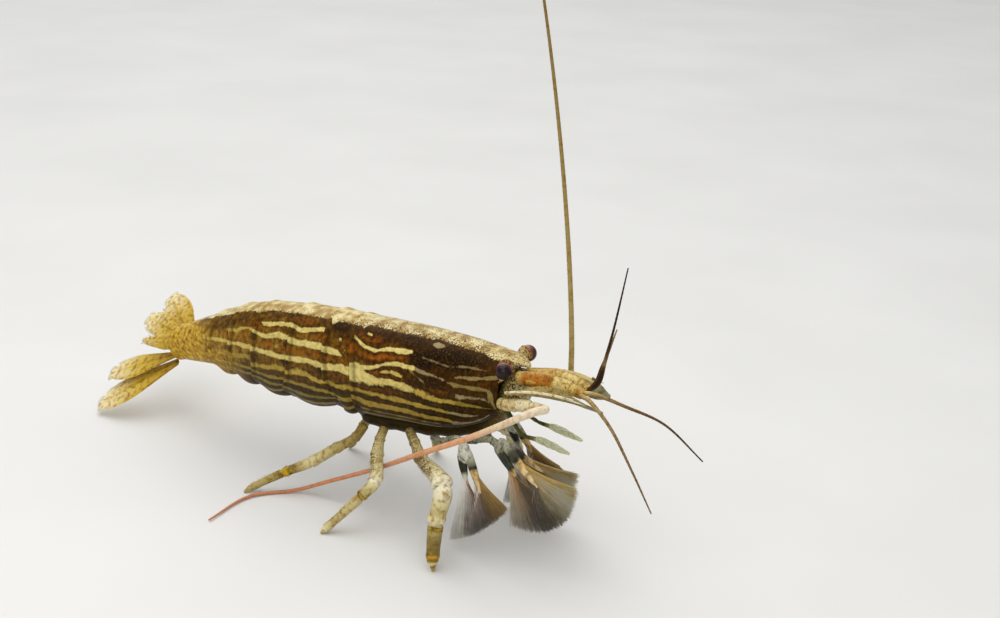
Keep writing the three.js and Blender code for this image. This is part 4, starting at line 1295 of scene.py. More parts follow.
# Third maxillipeds: thin arms that end in dense brushes
feederArm = {
    "points": [(1.5, -10.4, 17.6), (1.6, -11.1, 16.75), (2.1, -12.9, 15.2), (2.0, -15.4, 14.9),
               (2.0, -19.0, 14.1)],
    "radii": [0.38, 0.28, 0.22, 0.3, 0.14], "rows": 90, "around": 30, "raise": 0.1,
    "lift": [0, 0, 1, 1, 1],  # how far each point goes with the raise of the left one
    "joints": [0.27, 0.5, 0.72], "knuckle": (0.1, 0.025, 0.02, 0.16, 0.01, 0.014),
    "bristles": 560, "length": (0.3, 0.75), "width": 0.06, "jitter": 0.07, "bow": 0.45,
    "hairFrom": 0.68, "hairOver": 0.32,    # the stretch of the arm that carries the brush
    "fullFrom": 0.62, "fullOver": 0.395,   # the bristles are longest in the middle of this one
    "lean": (1.3, 0.32),  # along the arm and outward
}
feederSkin = cuticle("maxilliped cuticle", [
    (0.0, "#e6e8b4"), (0.5, "#72763a"), (1.0, "#3f421a"),
], "#2f2c0e", (0.3, 0.45), 0.08)
feederHair = plumose("maxilliped setae", [
    (0.0, "#d6dc82"), (0.5, "#e6eaa2"), (1.0, "#f2f4c2"),
], [(0.0, "#f2f4c4"), (0.5, "#fafadc"), (1.0, "#fffff6")], 1.0)

for word, sign in sides:
    high = feederArm["raise"] if sign > 0 else 0
    points = [bend(sign * x, y, z + high * up)
              for (x, y, z), up in zip(feederArm["points"], feederArm["lift"])]
    arm = limbMesh(points, feederArm["radii"], feederArm, lambda t, angle: knuckles(feederArm, t))
    addPiece(f"feeder_{word}", arm, feederSkin, [f"maxilliped_{word}"],
             [(0, 0.9), (0.6, 0.8), (0.72, 0.1), (1, 0)], [(0, 0.4), (0.6, 0)])
    count = feederArm["bristles"]
    shares = feederArm["hairFrom"] + feederArm["hairOver"] * np.sort(rng.random(count))
    angles = rng.random(count) * 2 * pi
    spots, alongs, outs = onLimb(points, feederArm["radii"], (0, 0, 1), shares, angles)
    low, high = feederArm["length"]
    full = np.clip((shares - feederArm["fullFrom"]) / feederArm["fullOver"], 0, 1)
    full = np.sin(full * pi) ** 0.8
    length = (low + (high - low) * rng.random(count)) * full
    onward, outward = feederArm["lean"]
    stray = rng.normal(0, feederArm["jitter"], (count, 3))
    lean = unitRows(alongs * onward + outs * outward + stray)
    tips = spots + lean * length[:, None]
    middles = spots + unitRows(alongs * 0.5 + outs) * (length * feederArm["bow"])[:, None]
    hair = strandMesh(bristlePaths(spots, middles, tips, 4), feederArm["width"],
                      (angles / 2 / pi, shares), rng.random(count))
    addPiece(f"feederHair_{word}", hair, feederHair)
print("maxillipeds")


# Feeding arms: a thin arm, a hand with two fingers, and the fan of bristles they carry. The
# tables give the right side; the left mirrors it with a turn of its own.
arms = {
    "first": {
        "arm": [(3.3, -5.0, 12.9), (3.9, -8.0, 13.9), (4.3, -10.4, 15.0), (4.6, -11.8, 15.2)],
        "palm": [(4.75, -12.6, 15.1), (5.4, -14.3, 14.5)],
        "fingers": [(6.0, -16.1, 12.3), (6.5, -19.3, 12.3)],
        "edge": [(6.2, -15.9, 5.9), (6.6, -23.6, 5.6), (6.9, -25.0, 14.1)],
        "leftTurn": (-0.7, 5.7, -5.2), "leftFan": 0.74, "fork": 0.15,
    },
    "second": {
        "arm": [(3.2, -1.6, 12.1), (4.2, -3.6, 12.6), (4.9, -5.6, 13.7), (5.2, -6.6, 14.2)],
        "palm": [(5.4, -7.7, 14.3), (5.8, -8.5, 12.2)],
        "fingers": [(6.3, -9.0, 9.6), (6.5, -11.4, 9.0)],
        "edge": [(6.3, -7.0, 1.0), (6.6, -11.2, 2.6), (6.8, -15.5, 8.2)],
        "leftTurn": (0.2, 0.8, -0.5), "leftFan": 1.0, "fork": 0.75,
    },
}
armForm = {
    "follow": [0, 0.5, 0.85, 1],   # how far each point of a left arm goes with its hand's turn
    "radii": [0.42, 0.42, 0.44, 0.4, 0.42], "rows": 70, "around": 40, "joints": [0.34, 0.68],
    "knuckle": (0.14, 0.03, 0.03, 0.2, 0.012, 0.018),
}
handForm = {
    "palmRadii": [0.4, 0.78, 0.98, 0.95, 0.6], "flat": 0.66, "rows": 60, "around": 56,
    "palmStops": [0, 0.3, 0.6, 0.85, 1], "pastFork": 0.35,
    "spread": [0.5, 0.34, 0.14],  # how far each finger stands off the line to its tip
    "sunk": 0.5, "sunkSpread": 0.6,  # its root lies this deep in the palm, nearer the middle
    "knees": (0.36, 0.7),            # where its line bends on the way to the tip
}
fingerForm = {"radii": [0.46, 0.6, 0.58, 0.46, 0.13], "flat": 0.7, "rows": 60, "around": 40}
brushForm = {
    "bristles": 2300, "width": 0.048, "steps": 6, "taper": 0.35, "lowest": 0.05,
    "shorter": 0.16,    # the most that a bristle falls short of the fan's edge
    "bulge": 0.5,       # how far the edge bows out of its plane
    "sheet": 0.14, "jitter": 0.12, "rootJitter": 0.07,  # scatter off the plane, of ends and roots
    "between": 0.48,    # where across the fan the web between the fingers lies
}

armSkin = cuticle("feeding arm cuticle", [
    (0.0, "#d9d8c8"), (0.2, "#b9b7a2"), (0.4, "#8d8a70"), (0.55, "#4f4f3c"), (0.7, "#2c2d22"),
    (0.85, "#c7a56a"), (1.0, "#dcc08c"),
], "#1f1c12", (0.22, 0.38), 0.05, shadow="#a8a698", gleam="#f4f2ea")
# colour along each article group: 0 white, 0.5 grey, 0.7 smoke, 0.85 and over tan
armTints = {
    "first": {
        "arm": [(0, 0.5), (0.5, 0.4), (1, 0.35)],
        "palm": [(0, 0.4), (0.4, 0.3), (0.8, 0.35), (1, 0.45)],
        "fingers": [
            [(0, 0.35), (0.3, 0.45), (0.45, 0.66), (0.74, 0.66), (0.84, 0.84), (1, 0.92)],
            [(0, 0.3), (0.2, 0.22), (0.36, 0.3), (0.44, 0.6), (0.52, 0.66), (0.58, 0.84),
             (0.7, 0.95), (1, 1)],
        ],
    },
    "second": {
        "arm": [(0, 0.45), (0.5, 0.35), (1, 0.2)],
        "palm": [(0, 0.1), (0.5, 0.06), (0.8, 0.1), (1, 0.12)],
        "fingers": [
            [(0, 0.06), (0.2, 0.12), (0.3, 0.55), (0.42, 0.68), (0.66, 0.66), (0.8, 0.1),
             (1, 0.02)],
            [(0, 0.1), (0.3, 0.2), (0.45, 0.45), (0.55, 0.84), (1, 0.98)],
        ],
    },
}
handSpecks = {"arm": [(0, 0.55), (1, 0.6)], "palm": [(0, 0.5), (0.6, 0.45), (1, 0.6)],
              "fingers": [(0, 0.5), (0.5, 0.35), (0.7, 0.1), (1, 0)]}
fanSetae = {
    "first": plumose("golden brush setae", [
        (0.0, "#d2ae80"), (0.12, "#c98d42"), (0.24, "#86602e"), (0.36, "#46331c"), (0.6, "#5c4716"),
        (0.78, "#a07c1e"), (1.0, "#bd902a"),
    ], [
        (0.0, "#b0a48c"), (0.16, "#8c7e62"), (0.32, "#4d4030"), (0.55, "#5d523a"), (0.72, "#a49c80"),
        (0.88, "#cdc9b0"), (1.0, "#b59a4c"),
    ], 0.4),
    "second": plumose("pale brush setae", [
        (0.0, "#fffefa"), (0.26, "#f6f2ea"), (0.44, "#e6d2c2"), (0.56, "#b08c70"), (0.66, "#6b4d34"),
        (0.78, "#86672f"), (1.0, "#a8843a"),
    ], [
        (0.0, "#f8f7ee"), (0.18, "#d6d1c2"), (0.34, "#6a5644"), (0.5, "#3b2d1e"), (0.75, "#6a5230"),
        (1.0, "#9c7c3e"),
    ], 0.4),
}


def armSwell(t, angle):
    return knuckles(armForm, t, 1 + 0.03 * sin(3 * angle + 11 * t))


def fingerLines(palm, tips, fork):
    # each finger's centre line, from inside the palm out to its tip; fork says how far down
    # the palm the two part
    spread = tips[1] - tips[0]
    middle = (tips[0] + tips[1]) / 2
    along = (middle - palm[0]).normalized()
    side = (spread - along * spread.dot(along)).normalized()
    crotch = palm[0].lerp(palm[1], fork)
    first, second = handForm["knees"]
    lines = []
    for tip, way in zip(tips, (-1, 1)):
        near, mid, far = [side * (off * way) for off in handForm["spread"]]
        root = crotch - along * handForm["sunk"] + near * handForm["sunkSpread"]
        lines.append([root, crotch + near, crotch.lerp(tip, first) + mid,
                      crotch.lerp(tip, second) + far, tip])
    return lines, side.cross(along).normalized()


def fanRoots(lines, across):
    # bristle roots: a tuft on the outer half of each finger and a web between the two
    first, second = [lineThrough(line) for line in lines]
    between, roots = brushForm["between"], []
    for u in across:
        web = 0.4 * rng.random() * max(1 - abs(u - between) / 0.2, 0)
        if u < between + rng.normal(0, 0.1):
            roots.append(first(0.6 + 0.38 * min(u / 0.4, 1) - web))
        else:
            roots.append(second(0.98 - 0.44 * max((u - 0.5) / 0.5, 0) ** 0.8 - web))
    return np.array(roots)


def brushStrands(lines, face, tips, edge):
    form, count = brushForm, brushForm["bristles"]
    across = np.sort(rng.random(count))
    roots = fanRoots(lines, across) + rng.normal(0, form["rootJitter"], (count, 3))
    a, b, c = [np.array(p) for p in edge]
    u = across[:, None]
    ends = a * (1 - u) ** 2 + b * 2 * u * (1 - u) + c * u * u
    ends[:, 0] += form["bulge"] * np.sin(np.pi * across)
    ends = roots + (ends - roots) * (1 - form["shorter"] * rng.random(count) ** 2)[:, None]
    ends += np.array(face) * rng.normal(0, form["sheet"], (count, 1))
    ends += rng.normal(0, form["jitter"], (count, 3))
    fromTips = np.array(tips[0]) * (1 - u) + np.array(tips[1]) * u
    middles = roots * 0.35 + (fromTips * 0.55 + ends * 0.45) * 0.65
    widths = form["width"] * (0.7 + 0.6 * rng.random(count))
    places = across, 0.5 + 0.4 * rng.random(count)
    fan = np.clip(across + rng.normal(0, 0.035, count), 0, 1)
    paths = bristlePaths(roots, middles, ends, form["steps"])
    paths[:, :, 2] = np.maximum(paths[:, :, 2], form["lowest"])
    return strandMesh(paths, widths, places, fan, form["taper"])


def placeArm(points, sign, turn, follow=(1, 1, 1)):
    # the left arm goes with its hand's turn, each point by its share
    moved = [Vector(p) + Vector(turn) * (share if sign > 0 else 0)
             for p, share in zip(points, follow)]
    return [Vector((sign * p.x, p.y, p.z)) for p in moved]


for which, part in arms.items():
    for word, sign in sides:
        label, tints, turn = f"{which}_{word}", armTints[which], part["leftTurn"]
        armLine = placeArm(part["arm"], sign, turn, armForm["follow"])
        palm, tips, edge = [placeArm(part[key], sign, turn) for key in ("palm", "fingers", "edge")]
        if sign > 0:
            wrist = (tips[0] + tips[1]) / 2
            edge = [p.lerp(wrist, 1 - part["leftFan"]) for p in edge]
        mesh = limbMesh(armLine + [palm[0]], armForm["radii"], armForm, armSwell)
        addPiece(f"forearm_{label}", mesh, armSkin, [f"arm_{label}"],
                 tints["arm"], handSpecks["arm"])
        lines, face = fingerLines(palm, tips, part["fork"])
        reach = part["fork"] + handForm["pastFork"]
        palmLine = [palm[0].lerp(palm[1], reach * stop) for stop in handForm["palmStops"]]
        mesh = limbMesh(palmLine, handForm["palmRadii"], handForm | {"up": face})
        addPiece(f"palm_{label}", mesh, armSkin, [f"hand_{label}"],
                 tints["palm"], handSpecks["palm"])
        for finger, line, tint in zip(("fixed", "moving"), lines, tints["fingers"]):
            mesh = limbMesh(line, fingerForm["radii"], fingerForm | {"up": face})
            addPiece(f"{finger}Finger_{label}", mesh, armSkin, (), tint,
                     handSpecks["fingers"])
        hair = brushStrands(lines, face, tips, edge)
        addPiece(f"setae_{label}", hair, fanSetae[which], [f"brush_{label}"])
print("feeding arms, hands and brushes")


# Walking legs: hip, knee ... claw for each, with the joints at the points
legs = {
    "third_right": [(-3.3, 2.0, 11.9), (-5.0, -0.2, 11.5), (-6.7, -2.5, 10.8), (-9.4, -7.9, 9.8),
                    (-11.0, -8.2, 5.8), (-12.0, -8.6, 1.5), (-12.3, -8.9, 0.2)],
    "fourth_right": [(-3.3, 6.2, 11.0), (-4.6, 5.8, 10.0), (-6.2, 4.9, 8.7), (-8.5, 3.2, 6.7),
                     (-10.0, 4.3, 4.7), (-13.3, 7.1, 0.7), (-13.9, 7.4, 0.2)],
    "fifth_right": [(-3.3, 9.4, 10.5), (-4.3, 10.2, 8.9), (-5.4, 12.6, 7.0), (-6.8, 15.5, 4.7),
                    (-8.6, 18.6, 2.9), (-11.2, 21.9, 0.7), (-12.0, 22.5, 0.2)],
    "third_left": [(3.3, 2.0, 11.9), (5.0, 0.4, 11.3), (6.7, -0.8, 10.9), (9.4, -4.6, 9.9),
                   (11.0, -4.6, 6.0), (12.2, -4.4, 1.5), (12.5, -4.8, 0.2)],
    "fourth_left": [(3.3, 6.2, 11.0), (4.7, 6.2, 10.3), (6.6, 6.4, 9.5), (9.4, 7.2, 8.0),
                    (11.2, 8.8, 5.0), (13.4, 10.2, 0.8), (13.9, 10.4, 0.2)],
    "fifth_left": [(3.3, 9.4, 10.5), (4.6, 10.8, 9.8), (5.7, 13.2, 8.8), (6.6, 16.2, 6.6),
                   (7.0, 18.4, 4.0), (7.0, 20.2, 0.8), (6.9, 20.6, 0.2)],
}
legForm = {
    "rows": 170, "around": 44, "up": (0, 0.3, 1),
    "flare": 0.14, "neck": 0.24,
    "hook": {"shares": (0.88, 0.92, 0.96), "sink": 0.4, "long": 0.35, "drop": 0.12, "wide": 0.09},
    "spines": 120, "spineLength": (0.2, 0.48), "spineWidth": 0.045,
    "spinesFrom": 0.34, "spinesOver": 0.5,  # the stretch of the leg that carries them
    "spineAngle": (0.2, 0.5),  # mean and spread round the leg, in radians
    "spineLean": 0.9, "spineJitter": 0.1, "spineBow": 0.4,
}
# tint along each leg: 0 white, 0.4 olive tan, 0.55 olive, 0.7 yellow, 0.85 orange, 1 brown
legKinds = {
    "third": {
        "radii": [0.6, 0.62, 0.85, 1.15, 1.0, 0.74, 0.3],
        "tint": [(0, 0.5), (0.2, 0.36), (0.33, 0.32), (0.36, 0.26), (0.45, 0.16), (0.5, 0.0),
                 (0.55, 0.1), (0.62, 0.34), (0.655, 0.12), (0.675, 0.1), (0.685, 0.7),
                 (0.705, 0.42), (0.74, 0.52), (0.8, 0.55), (0.83, 0.84), (0.86, 0.5), (0.9, 0.15),
                 (1, 0.8)],
        "speck": [(0, 0.85), (0.3, 0.85), (0.36, 0.9), (0.44, 0.75), (0.49, 0.3), (0.56, 0.35),
                  (0.66, 0.4), (0.8, 0.6), (0.84, 0.25), (1, 0.2)],
    },
    "fourth": {
        "radii": [0.6, 0.65, 0.8, 0.8, 0.68, 0.48, 0.26],
        "tint": [(0, 0.5), (0.2, 0.34), (0.33, 0.26), (0.36, 0.3), (0.46, 0.2), (0.51, 0.02),
                 (0.55, 0.22), (0.64, 0.42), (0.66, 0.72), (0.68, 0.3), (0.8, 0.34), (0.84, 0.12),
                 (1, 0.35)],
        "speck": [(0, 0.85), (0.33, 0.85), (0.45, 0.85), (0.5, 0.4), (0.58, 0.85), (0.68, 0.6),
                  (0.8, 0.85), (0.9, 0.4), (1, 0.3)],
    },
    "fifth": {
        "radii": [0.6, 0.62, 0.7, 0.7, 0.6, 0.44, 0.26],
        "tint": [(0, 0.55), (0.3, 0.42), (0.4, 0.3), (0.5, 0.2), (0.58, 0.45), (0.66, 0.74),
                 (0.7, 0.45), (0.82, 0.4), (1, 0.4)],
        "speck": [(0, 0.85), (0.4, 0.8), (0.5, 0.5), (0.8, 0.7), (1, 0.4)],
    },
}
legSkin = cuticle("walking leg cuticle", [
    (0.0, "#efe9ce"), (0.2, "#d8cc9a"), (0.4, "#b8a76c"), (0.55, "#816e38"), (0.7, "#bd9e2c"),
    (0.85, "#b4702a"), (1.0, "#5c3d1a"),
], "#46300f", (0.25, 0.42), 0.08, 0.36)
spineHair = plumose("leg spine chitin", [(0.0, "#7a5a24"), (1.0, "#a88644")],
                    [(0.0, "#b8a060"), (1.0, "#d0bf86")])


def legSwell(t, angle):
    # each of the six articles flares before its joint and has a neck after it
    article = t * 6
    part = article - int(article)
    last = article > 5
    flare = 0 if last else legForm["flare"] * bump(part, 0.9, 0.1)
    neck = legForm["neck"] * bump(part, 0.015, 0.045) if 0.9 < article < 6 else 0
    grip = 0.3 * smooth(5.3, 6, article) if last else 0
    return 1 + flare - neck - grip + 0.025 * sin(4 * angle + 3 * article)


for name, points in legs.items():
    kind = legKinds[name.split("_")[0]]
    radii, hook = kind["radii"], legForm["hook"]
    mesh = limbMesh(points, radii, legForm, legSwell, floor=True)
    # small spines under the claw
    line = lineThrough(points)
    for share in hook["shares"]:
        centre, forward, side, rise = limbFrame(line, Vector(legForm["up"]), share)
        base = centre - rise * mixAt(radii, share) * hook["sink"]
        tip = base + forward * hook["long"] - rise * hook["drop"]
        addCone(mesh, base, tip, hook["wide"], share)
    leg = addPiece(f"walkingLeg_{name}", mesh, legSkin, [f"leg_{name}"],
                   kind["tint"], kind["speck"])
    # pigment lies thickest on the outer side
    flank, speck = readLayer(leg.data, "flank"), readLayer(leg.data, "speck")
    writeLayers(leg.data, speck=speck * (0.75 + 0.35 * flank))
    count = legForm["spines"]
    shares = legForm["spinesFrom"] + legForm["spinesOver"] * rng.random(count)
    angles = rng.normal(*legForm["spineAngle"], count)
    spots, alongs, outs = onLimb(points, radii, legForm["up"], shares, angles)
    low, high = legForm["spineLength"]
    length = (low + (high - low) * rng.random(count))[:, None]
    stray = rng.normal(0, legForm["spineJitter"], (count, 3))
    ends = spots + unitRows(outs + alongs * legForm["spineLean"] + stray) * length
    middles = spots + outs * length * legForm["spineBow"]
    hair = strandMesh(bristlePaths(spots, middles, ends, 3), legForm["spineWidth"],
                      (angles % (2 * pi) / 2 / pi, shares), rng.random(count))
    addPiece(f"legSpines_{name}", hair, spineHair)
print("walking legs")


# Swimmerets: five pairs of leaf blades folded back under the abdomen
swimmeret = {
    "widths": [0.34, 0.5, 0.58, 0.6, 0.54, 0.38, 0.18], "thick": 0.2, "lens": 0.5, "rows": 46,
    "around": 48, "rise": 1.2,
    "behindJoint": 2.2, "long": 3.4, "shorter": 0.25, "lower": 0.08,  # from one pair to the next
    "hang": 0.75, "tipHang": 0.85,  # how far root and tip of the first pair lie below the belly
    "stalkRadii": [0.36, 0.33, 0.26],
}
leafSkin = cuticle("swimmeret cuticle", [
    (0.0, "#d6cc9a"), (0.5, "#b8a866"), (1.0, "#8f7f3c"),
], "#5a4820", (0.3, 0.45), 0.1)


def leafRelief(t, across):
    return 0.06 * bump(across, 0, 0.15) * smooth(1, 0.6, t)


def underBelly(x, y, below):
    # a point under the abdomen, tilted with it
    return Vector(rolled(x, y, trunkAt(y)[1] + swimmeret["rise"] - below))


for index in range(1, 6):
    y = joints[index - 1][0] + swimmeret["behindJoint"]
    back = y + swimmeret["long"] - index * swimmeret["shorter"]
    deep = swimmeret["lower"] * index
    turn = trunkAt(y)[3]
    level = swimmeret | {"side": (cos(turn), 0, sin(turn))}
    for word, sign in sides:
        root = underBelly(sign, y, swimmeret["hang"] + deep)
        tip = underBelly(sign, back, swimmeret["tipHang"] + deep)
        mesh = bladeMesh(root, tip, swimmeret["widths"], level, leafRelief)
        # the stalk that hangs it from the belly
        stalk = [underBelly(sign, y - 0.7, -0.2), underBelly(sign, y - 0.5, 0.4),
                 underBelly(sign, y + 0.3, swimmeret["hang"] + deep)]
        stalk = limbMesh(stalk, swimmeret["stalkRadii"], {"rows": 14, "around": 24})
        mesh = joinInto(mesh, stalk)
        addPiece(f"leaf_{index}_{word}", mesh, leafSkin,
                 [f"swimmeret_{index}_{word}"], [(0, 0.9), (0.5, 0.7), (1, 0.5)],
                 [(0, 0.5), (1, 0.3)])
print("swimmerets")


# Tail fan: telson and two blades a side on one plane, rolled left side up
tailFan = {
    "root": (-0.6, 46.6, 11.5), "pitch": -12, "roll": 40, "telson": 7.4,
    "telsonWidths": [1.15, 1.45, 1.5, 1.35, 1.2, 1.05, 0.9, 0.72, 0.4],
    "telsonBlade": {"thick": 0.5, "lens": 0.55, "rows": 90, "around": 72},
    # pairs down the telson: share of its length and half the gap; at its end: place and length
    "telsonSpines": [(0.42, 0.75), (0.6, 0.62), (0.78, 0.5)], "telsonTop": 0.72,
    "endSpines": [(-0.55, 0.35), (0.55, 0.35), (-0.25, 0.3), (0.25, 0.3)],
    "telsonTint": [(0, 0.7), (0.4, 0.55), (0.8, 0.3), (1, 0.1)],
    "fins": [
        {"name": "inner", "spread": {"right": 20, "left": 17}, "root": 1.5, "length": 12.2,
         "drop": -0.75, "wide": 1.95},
        {"name": "outer", "spread": {"right": 39, "left": 34}, "root": 2.1, "length": 13.8,
         "drop": -1.75, "wide": 2.3},
    ],
    "finWidths": [0.3, 0.4, 0.52, 0.64, 0.76, 0.88, 0.97, 1.0, 0.98, 0.9, 0.75, 0.42],
    "finBlade": {"thick": 0.22, "lens": 0.5, "rows": 140, "around": 110},
    "finTint": [(0, 0.75), (0.3, 0.6), (0.6, 0.4), (0.85, 0.15), (1, 0.02)],
    "finSpeck": [(0, 0.35), (0.6, 0.15), (1, 0)],
    "bladeShare": 0.93,        # the fringe fills the rest
    "fringe": 520, "fringeWidth": 0.04, "fringeLength": 0.55, "fringeLonger": 0.35,
    "fringeInner": 0.45,       # share of the bristles down the inner edge, the rest round the tip
}
pitch, roll = radians(tailFan["pitch"]), radians(tailFan["roll"])
tailAlong = Vector((0, cos(pitch), sin(pitch)))
tailSide = Vector((cos(roll), 0, sin(roll)))
tailUp = tailSide.cross(tailAlong).normalized()


def tailPoint(side, forward, up):
    return Vector(tailFan["root"]) + tailSide * side + tailAlong * forward + tailUp * up


tailSkin = cuticle("tail fan cuticle", [
    (0.0, "#f0e2b6"), (0.25, "#dcc684"), (0.5, "#c9a93c"), (0.75, "#a8842c"), (1.0, "#7a5a1e"),
], "#8a6c30", (0.25, 0.42), 0.12)
tailFringe = plumose("tail fan setae", [(0.0, "#cdb46a"), (1.0, "#dcc98a")],
                     [(0.0, "#ede2bd"), (1.0, "#f4edd4")])


# Muscle that fills the rear end of the last plate, round the root of the fan: place behind the
# plate's edge and share of its section
tailMuscle = {
    "around": 120, "inset": -0.24,
    "rows": [(-1.6, 0.0), (-1.5, 0.96), (-1.0, 1.0), (-0.4, 1.0), (0.0, 0.99), (0.22, 0.93),
             (0.42, 0.8), (0.57, 0.62), (0.67, 0.42), (0.73, 0.2), (0.75, 0.0)],
}


def muscleMesh():
    rear = joints[6]

    def shape(u, row):
        offset, share = tailMuscle["rows"][row]
        angle = 2 * pi * u - pi
        y = rear[0] + (jointAt(rear, angle) - rear[0]) * share + offset
        middle = (onTrunk(y, 0, 0) + onTrunk(y, pi, 0)) / 2
        point = middle.lerp(onTrunk(y, angle, tailMuscle["inset"]), share)
        degrees = abs(angle) * 180 / pi
        point.z += bellyRise(degrees) * share * mm
        return point, y, degrees

    return wrapMesh(tailMuscle["around"], len(tailMuscle["rows"]), shape, ("along", "round"))


muscle = addPiece("tailMuscle", muscleMesh(), tailSkin)
behind = readLayer(muscle.data, "along")
writeLayers(muscle.data, tint=readTable([(45, 0.9), (46.6, 0.72)], behind),
            speck=np.full(len(behind), 0.5))


def telsonRelief(t, across):
    ridges = 0.12 * (bump(across, 0.3, 0.1) + bump(across, -0.3, 0.1)) * smooth(1, 0.6, t)
    return ridges - 0.08 * bump(across, 0, 0.16)


mesh = bladeMesh(tailPoint(0, -0.2, 0.5), tailPoint(0, tailFan["telson"] * 0.97, 0.2),
                 tailFan["telsonWidths"], tailFan["telsonBlade"] | {"side": tailSide}, telsonRelief)
for back, wide in tailFan["telsonSpines"]:
    for sign in (-1, 1):
        base = tailPoint(sign * wide, tailFan["telson"] * back, tailFan["telsonTop"])
        addCone(mesh, base, base + tailAlong * 0.5 + tailUp * 0.14, 0.11, 0.9)
for sideways, longer in tailFan["endSpines"]:
    base = tailPoint(sideways, tailFan["telson"] * 0.955, 0.25)
    addCone(mesh, base, base + tailAlong * longer, 0.1, 1.0)
addPiece("tailSpade", mesh, tailSkin, ["telson"],
         tailFan["telsonTint"], [(0, 0.3), (1, 0)])


def finRelief(split):
    # two ribs and fine flutes, and the seam across the outer blade
    def relief(t, across):
        rib = 0.16 * bump(across, 0, 0.09) * smooth(1, 0.55, t)
        rib += 0.12 * bump(across, 0.9, 0.1) * smooth(0.95, 0.7, t)
        flutes = 0.03 * cos(across * 34) * smooth(0.55, 0.9, t)
        return rib + flutes - (0.1 * bump(t, 0.74 + 0.03 * across, 0.012) if split else 0)

    return relief


def fringeStrands(start, tip, widths, outward):
    # bristles round a blade's inner edge and its end
    count, inner = tailFan["fringe"], tailFan["fringeInner"]
    forward = (tip - start).normalized()
    sideward = (outward - forward * outward.dot(forward)).normalized()
    roots, ends, places = [], [], []
    for share in rng.random(count):
        if share < inner:
            outTo, edge = 0.45 + share, -0.93
        else:
            edge = -0.95 + (share - inner) / (1 - inner) * 1.85
            outTo = min(0.99, 0.92 + 0.1 * sqrt(max(0, 1 - edge * edge)))
        root = start.lerp(tip, outTo) + sideward * (edge * mixAt(widths, outTo))
        lean = (forward + sideward * (edge * 0.5)).normalized()
        roots.append(root)
        length = tailFan["fringeLength"] + tailFan["fringeLonger"] * rng.random()
        ends.append(root + lean * length)
        places.append((edge / 2 + 0.5, outTo))
    roots, ends = np.array(roots), np.array(ends)
    middles = (roots + ends) / 2 + rng.normal(0, 0.03, (count, 3))
    paths = bristlePaths(roots, middles, ends, 3)
    return strandMesh(paths, tailFan["fringeWidth"], np.array(places).T, rng.random(count))


for word, sign in sides:
    for fin in tailFan["fins"]:
        label, turn = f"{fin['name']}_{word}", radians(fin["spread"][word])
        start = tailPoint(sign * fin["root"], 0.1, fin["drop"])
        tip = tailPoint(sign * (fin["root"] + fin["length"] * sin(turn)),
                        0.1 + fin["length"] * cos(turn), fin["drop"] - 0.2)
        tip = start.lerp(tip, tailFan["bladeShare"])
        widths = [w * fin["wide"] for w in tailFan["finWidths"]]
        outward = tailSide * sign
        mesh = bladeMesh(start, tip, widths, tailFan["finBlade"] | {"side": outward},
                         finRelief(fin["name"] == "outer"))
        blade = addPiece(f"tailBlade_{label}", mesh, tailSkin, [f"uropod_{label}"],
                         tailFan["finTint"], tailFan["finSpeck"])
        flank, tint = readLayer(blade.data, "flank"), readLayer(blade.data, "tint")
        ribs = 0.18 * np.exp(-((flank / 0.12) ** 2)) + 0.12 * np.exp(-(((flank - 0.9) / 0.12) ** 2))
        writeLayers(blade.data, tint=tint + ribs)
        fringe = fringeStrands(start, tip, widths, outward)
        addPiece(f"tailFringe_{label}", fringe, tailFringe)
print("tail fan")


def pressedBoard():
    # matt sprayed board: pale, no gloss, a faint 0.3 mm tooth
    material, shader, add = newMaterial("matt sprayed board", Roughness=0.85, IOR=1.45)
    spot = add("TexCoord")
    tooth = add("TexNoise", {"Vector": spot, "Scale": 3000, "Detail": 3})
    cloud = add("TexNoise", {"Vector": spot, "Scale": 25, "Detail": 2})
    shade = add("ValToRGB", [cloud], [(0.3, "#dad8d4"), (0.7, "#dfddd9")])
    bumpy = add("Bump", {"Height": tooth, "Strength": 0.1, "Distance": 0.00004})
    feed(shader, Base_Color=shade, Normal=bumpy)
    return material


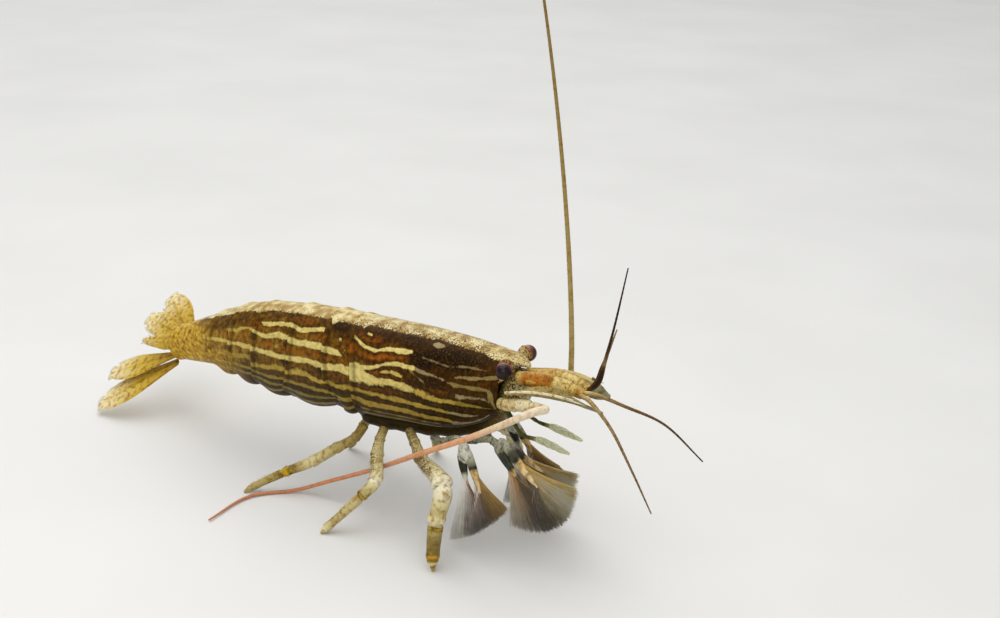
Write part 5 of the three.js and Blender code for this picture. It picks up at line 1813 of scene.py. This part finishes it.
stageHalf = 1.2  # metres
bm = bmesh.new()
bmesh.ops.create_grid(bm, x_segments=1, y_segments=1, size=stageHalf)
bmesh.ops.translate(bm, verts=bm.verts, vec=(0, 0, -floorGap))
floorMesh = bpy.data.meshes.new("floor")
bm.to_mesh(floorMesh)
bm.free()
floorMesh.materials.append(pressedBoard())
floor = addObject("floor", floorMesh)

# softboxes: place, size in metres, watts and what each is aimed at
lamps = {
    "overheadSoftbox": ((-60, 30, 260), 0.26, 0.32, (0, 10, 15)),
    "cameraSoftbox": ((-210, -110, 150), 0.2, 0.16, (0, 10, 15)),
    "backSoftbox": ((240, 300, 420), 0.4, 0.55, (0, 10, 15)),
    "ceilingPanel": ((560, 440, 800), 1.3, 3.6, (560, 440, 0)),
}


def standAt(made, spot, turn):
    made.location = spot
    made.rotation_mode = "QUATERNION"
    made.rotation_quaternion = turn


for name, (spot, size, watts, aim) in lamps.items():
    lamp = bpy.data.lights.new(name, "AREA")
    lamp.shape = "SQUARE"
    lamp.size = size
    lamp.energy = watts
    toAim = place(aim) - place(spot)
    standAt(addObject(name, lamp), place(spot), toAim.to_track_quat("-Z", "Y"))

studio = {"colour": "#e8ebee", "strength": 0.62}
world = bpy.data.worlds.new("studio")
bpy.context.scene.world = world
world.use_nodes = True
backdrop = world.node_tree.nodes["Background"]
backdrop.inputs["Color"].default_value = hexColour(studio["colour"])
backdrop.inputs["Strength"].default_value = studio["strength"]

view = {"place": (-130.01, -96.32, 87.05), "azimuth": -56, "elevation": 20, "roll": 2.5,
        "lens": 50.4, "sensor": 36, "nearest": 0.01}
bearing, height = radians(view["azimuth"]), radians(view["elevation"])
backward = Vector((sin(bearing) * cos(height), -cos(bearing) * cos(height), sin(height)))
lens = bpy.data.cameras.new("camera")
lens.lens = view["lens"]
lens.sensor_width = view["sensor"]
lens.clip_start = view["nearest"]
camera = addObject("camera", lens)
turned = Quaternion((0, 0, 1), radians(view["roll"]))
standAt(camera, place(view["place"]), backward.to_track_quat("Z", "Y") @ turned)
bpy.context.scene.camera = camera
bpy.context.scene.view_settings.view_transform = "Standard"
print("stage, light and camera")
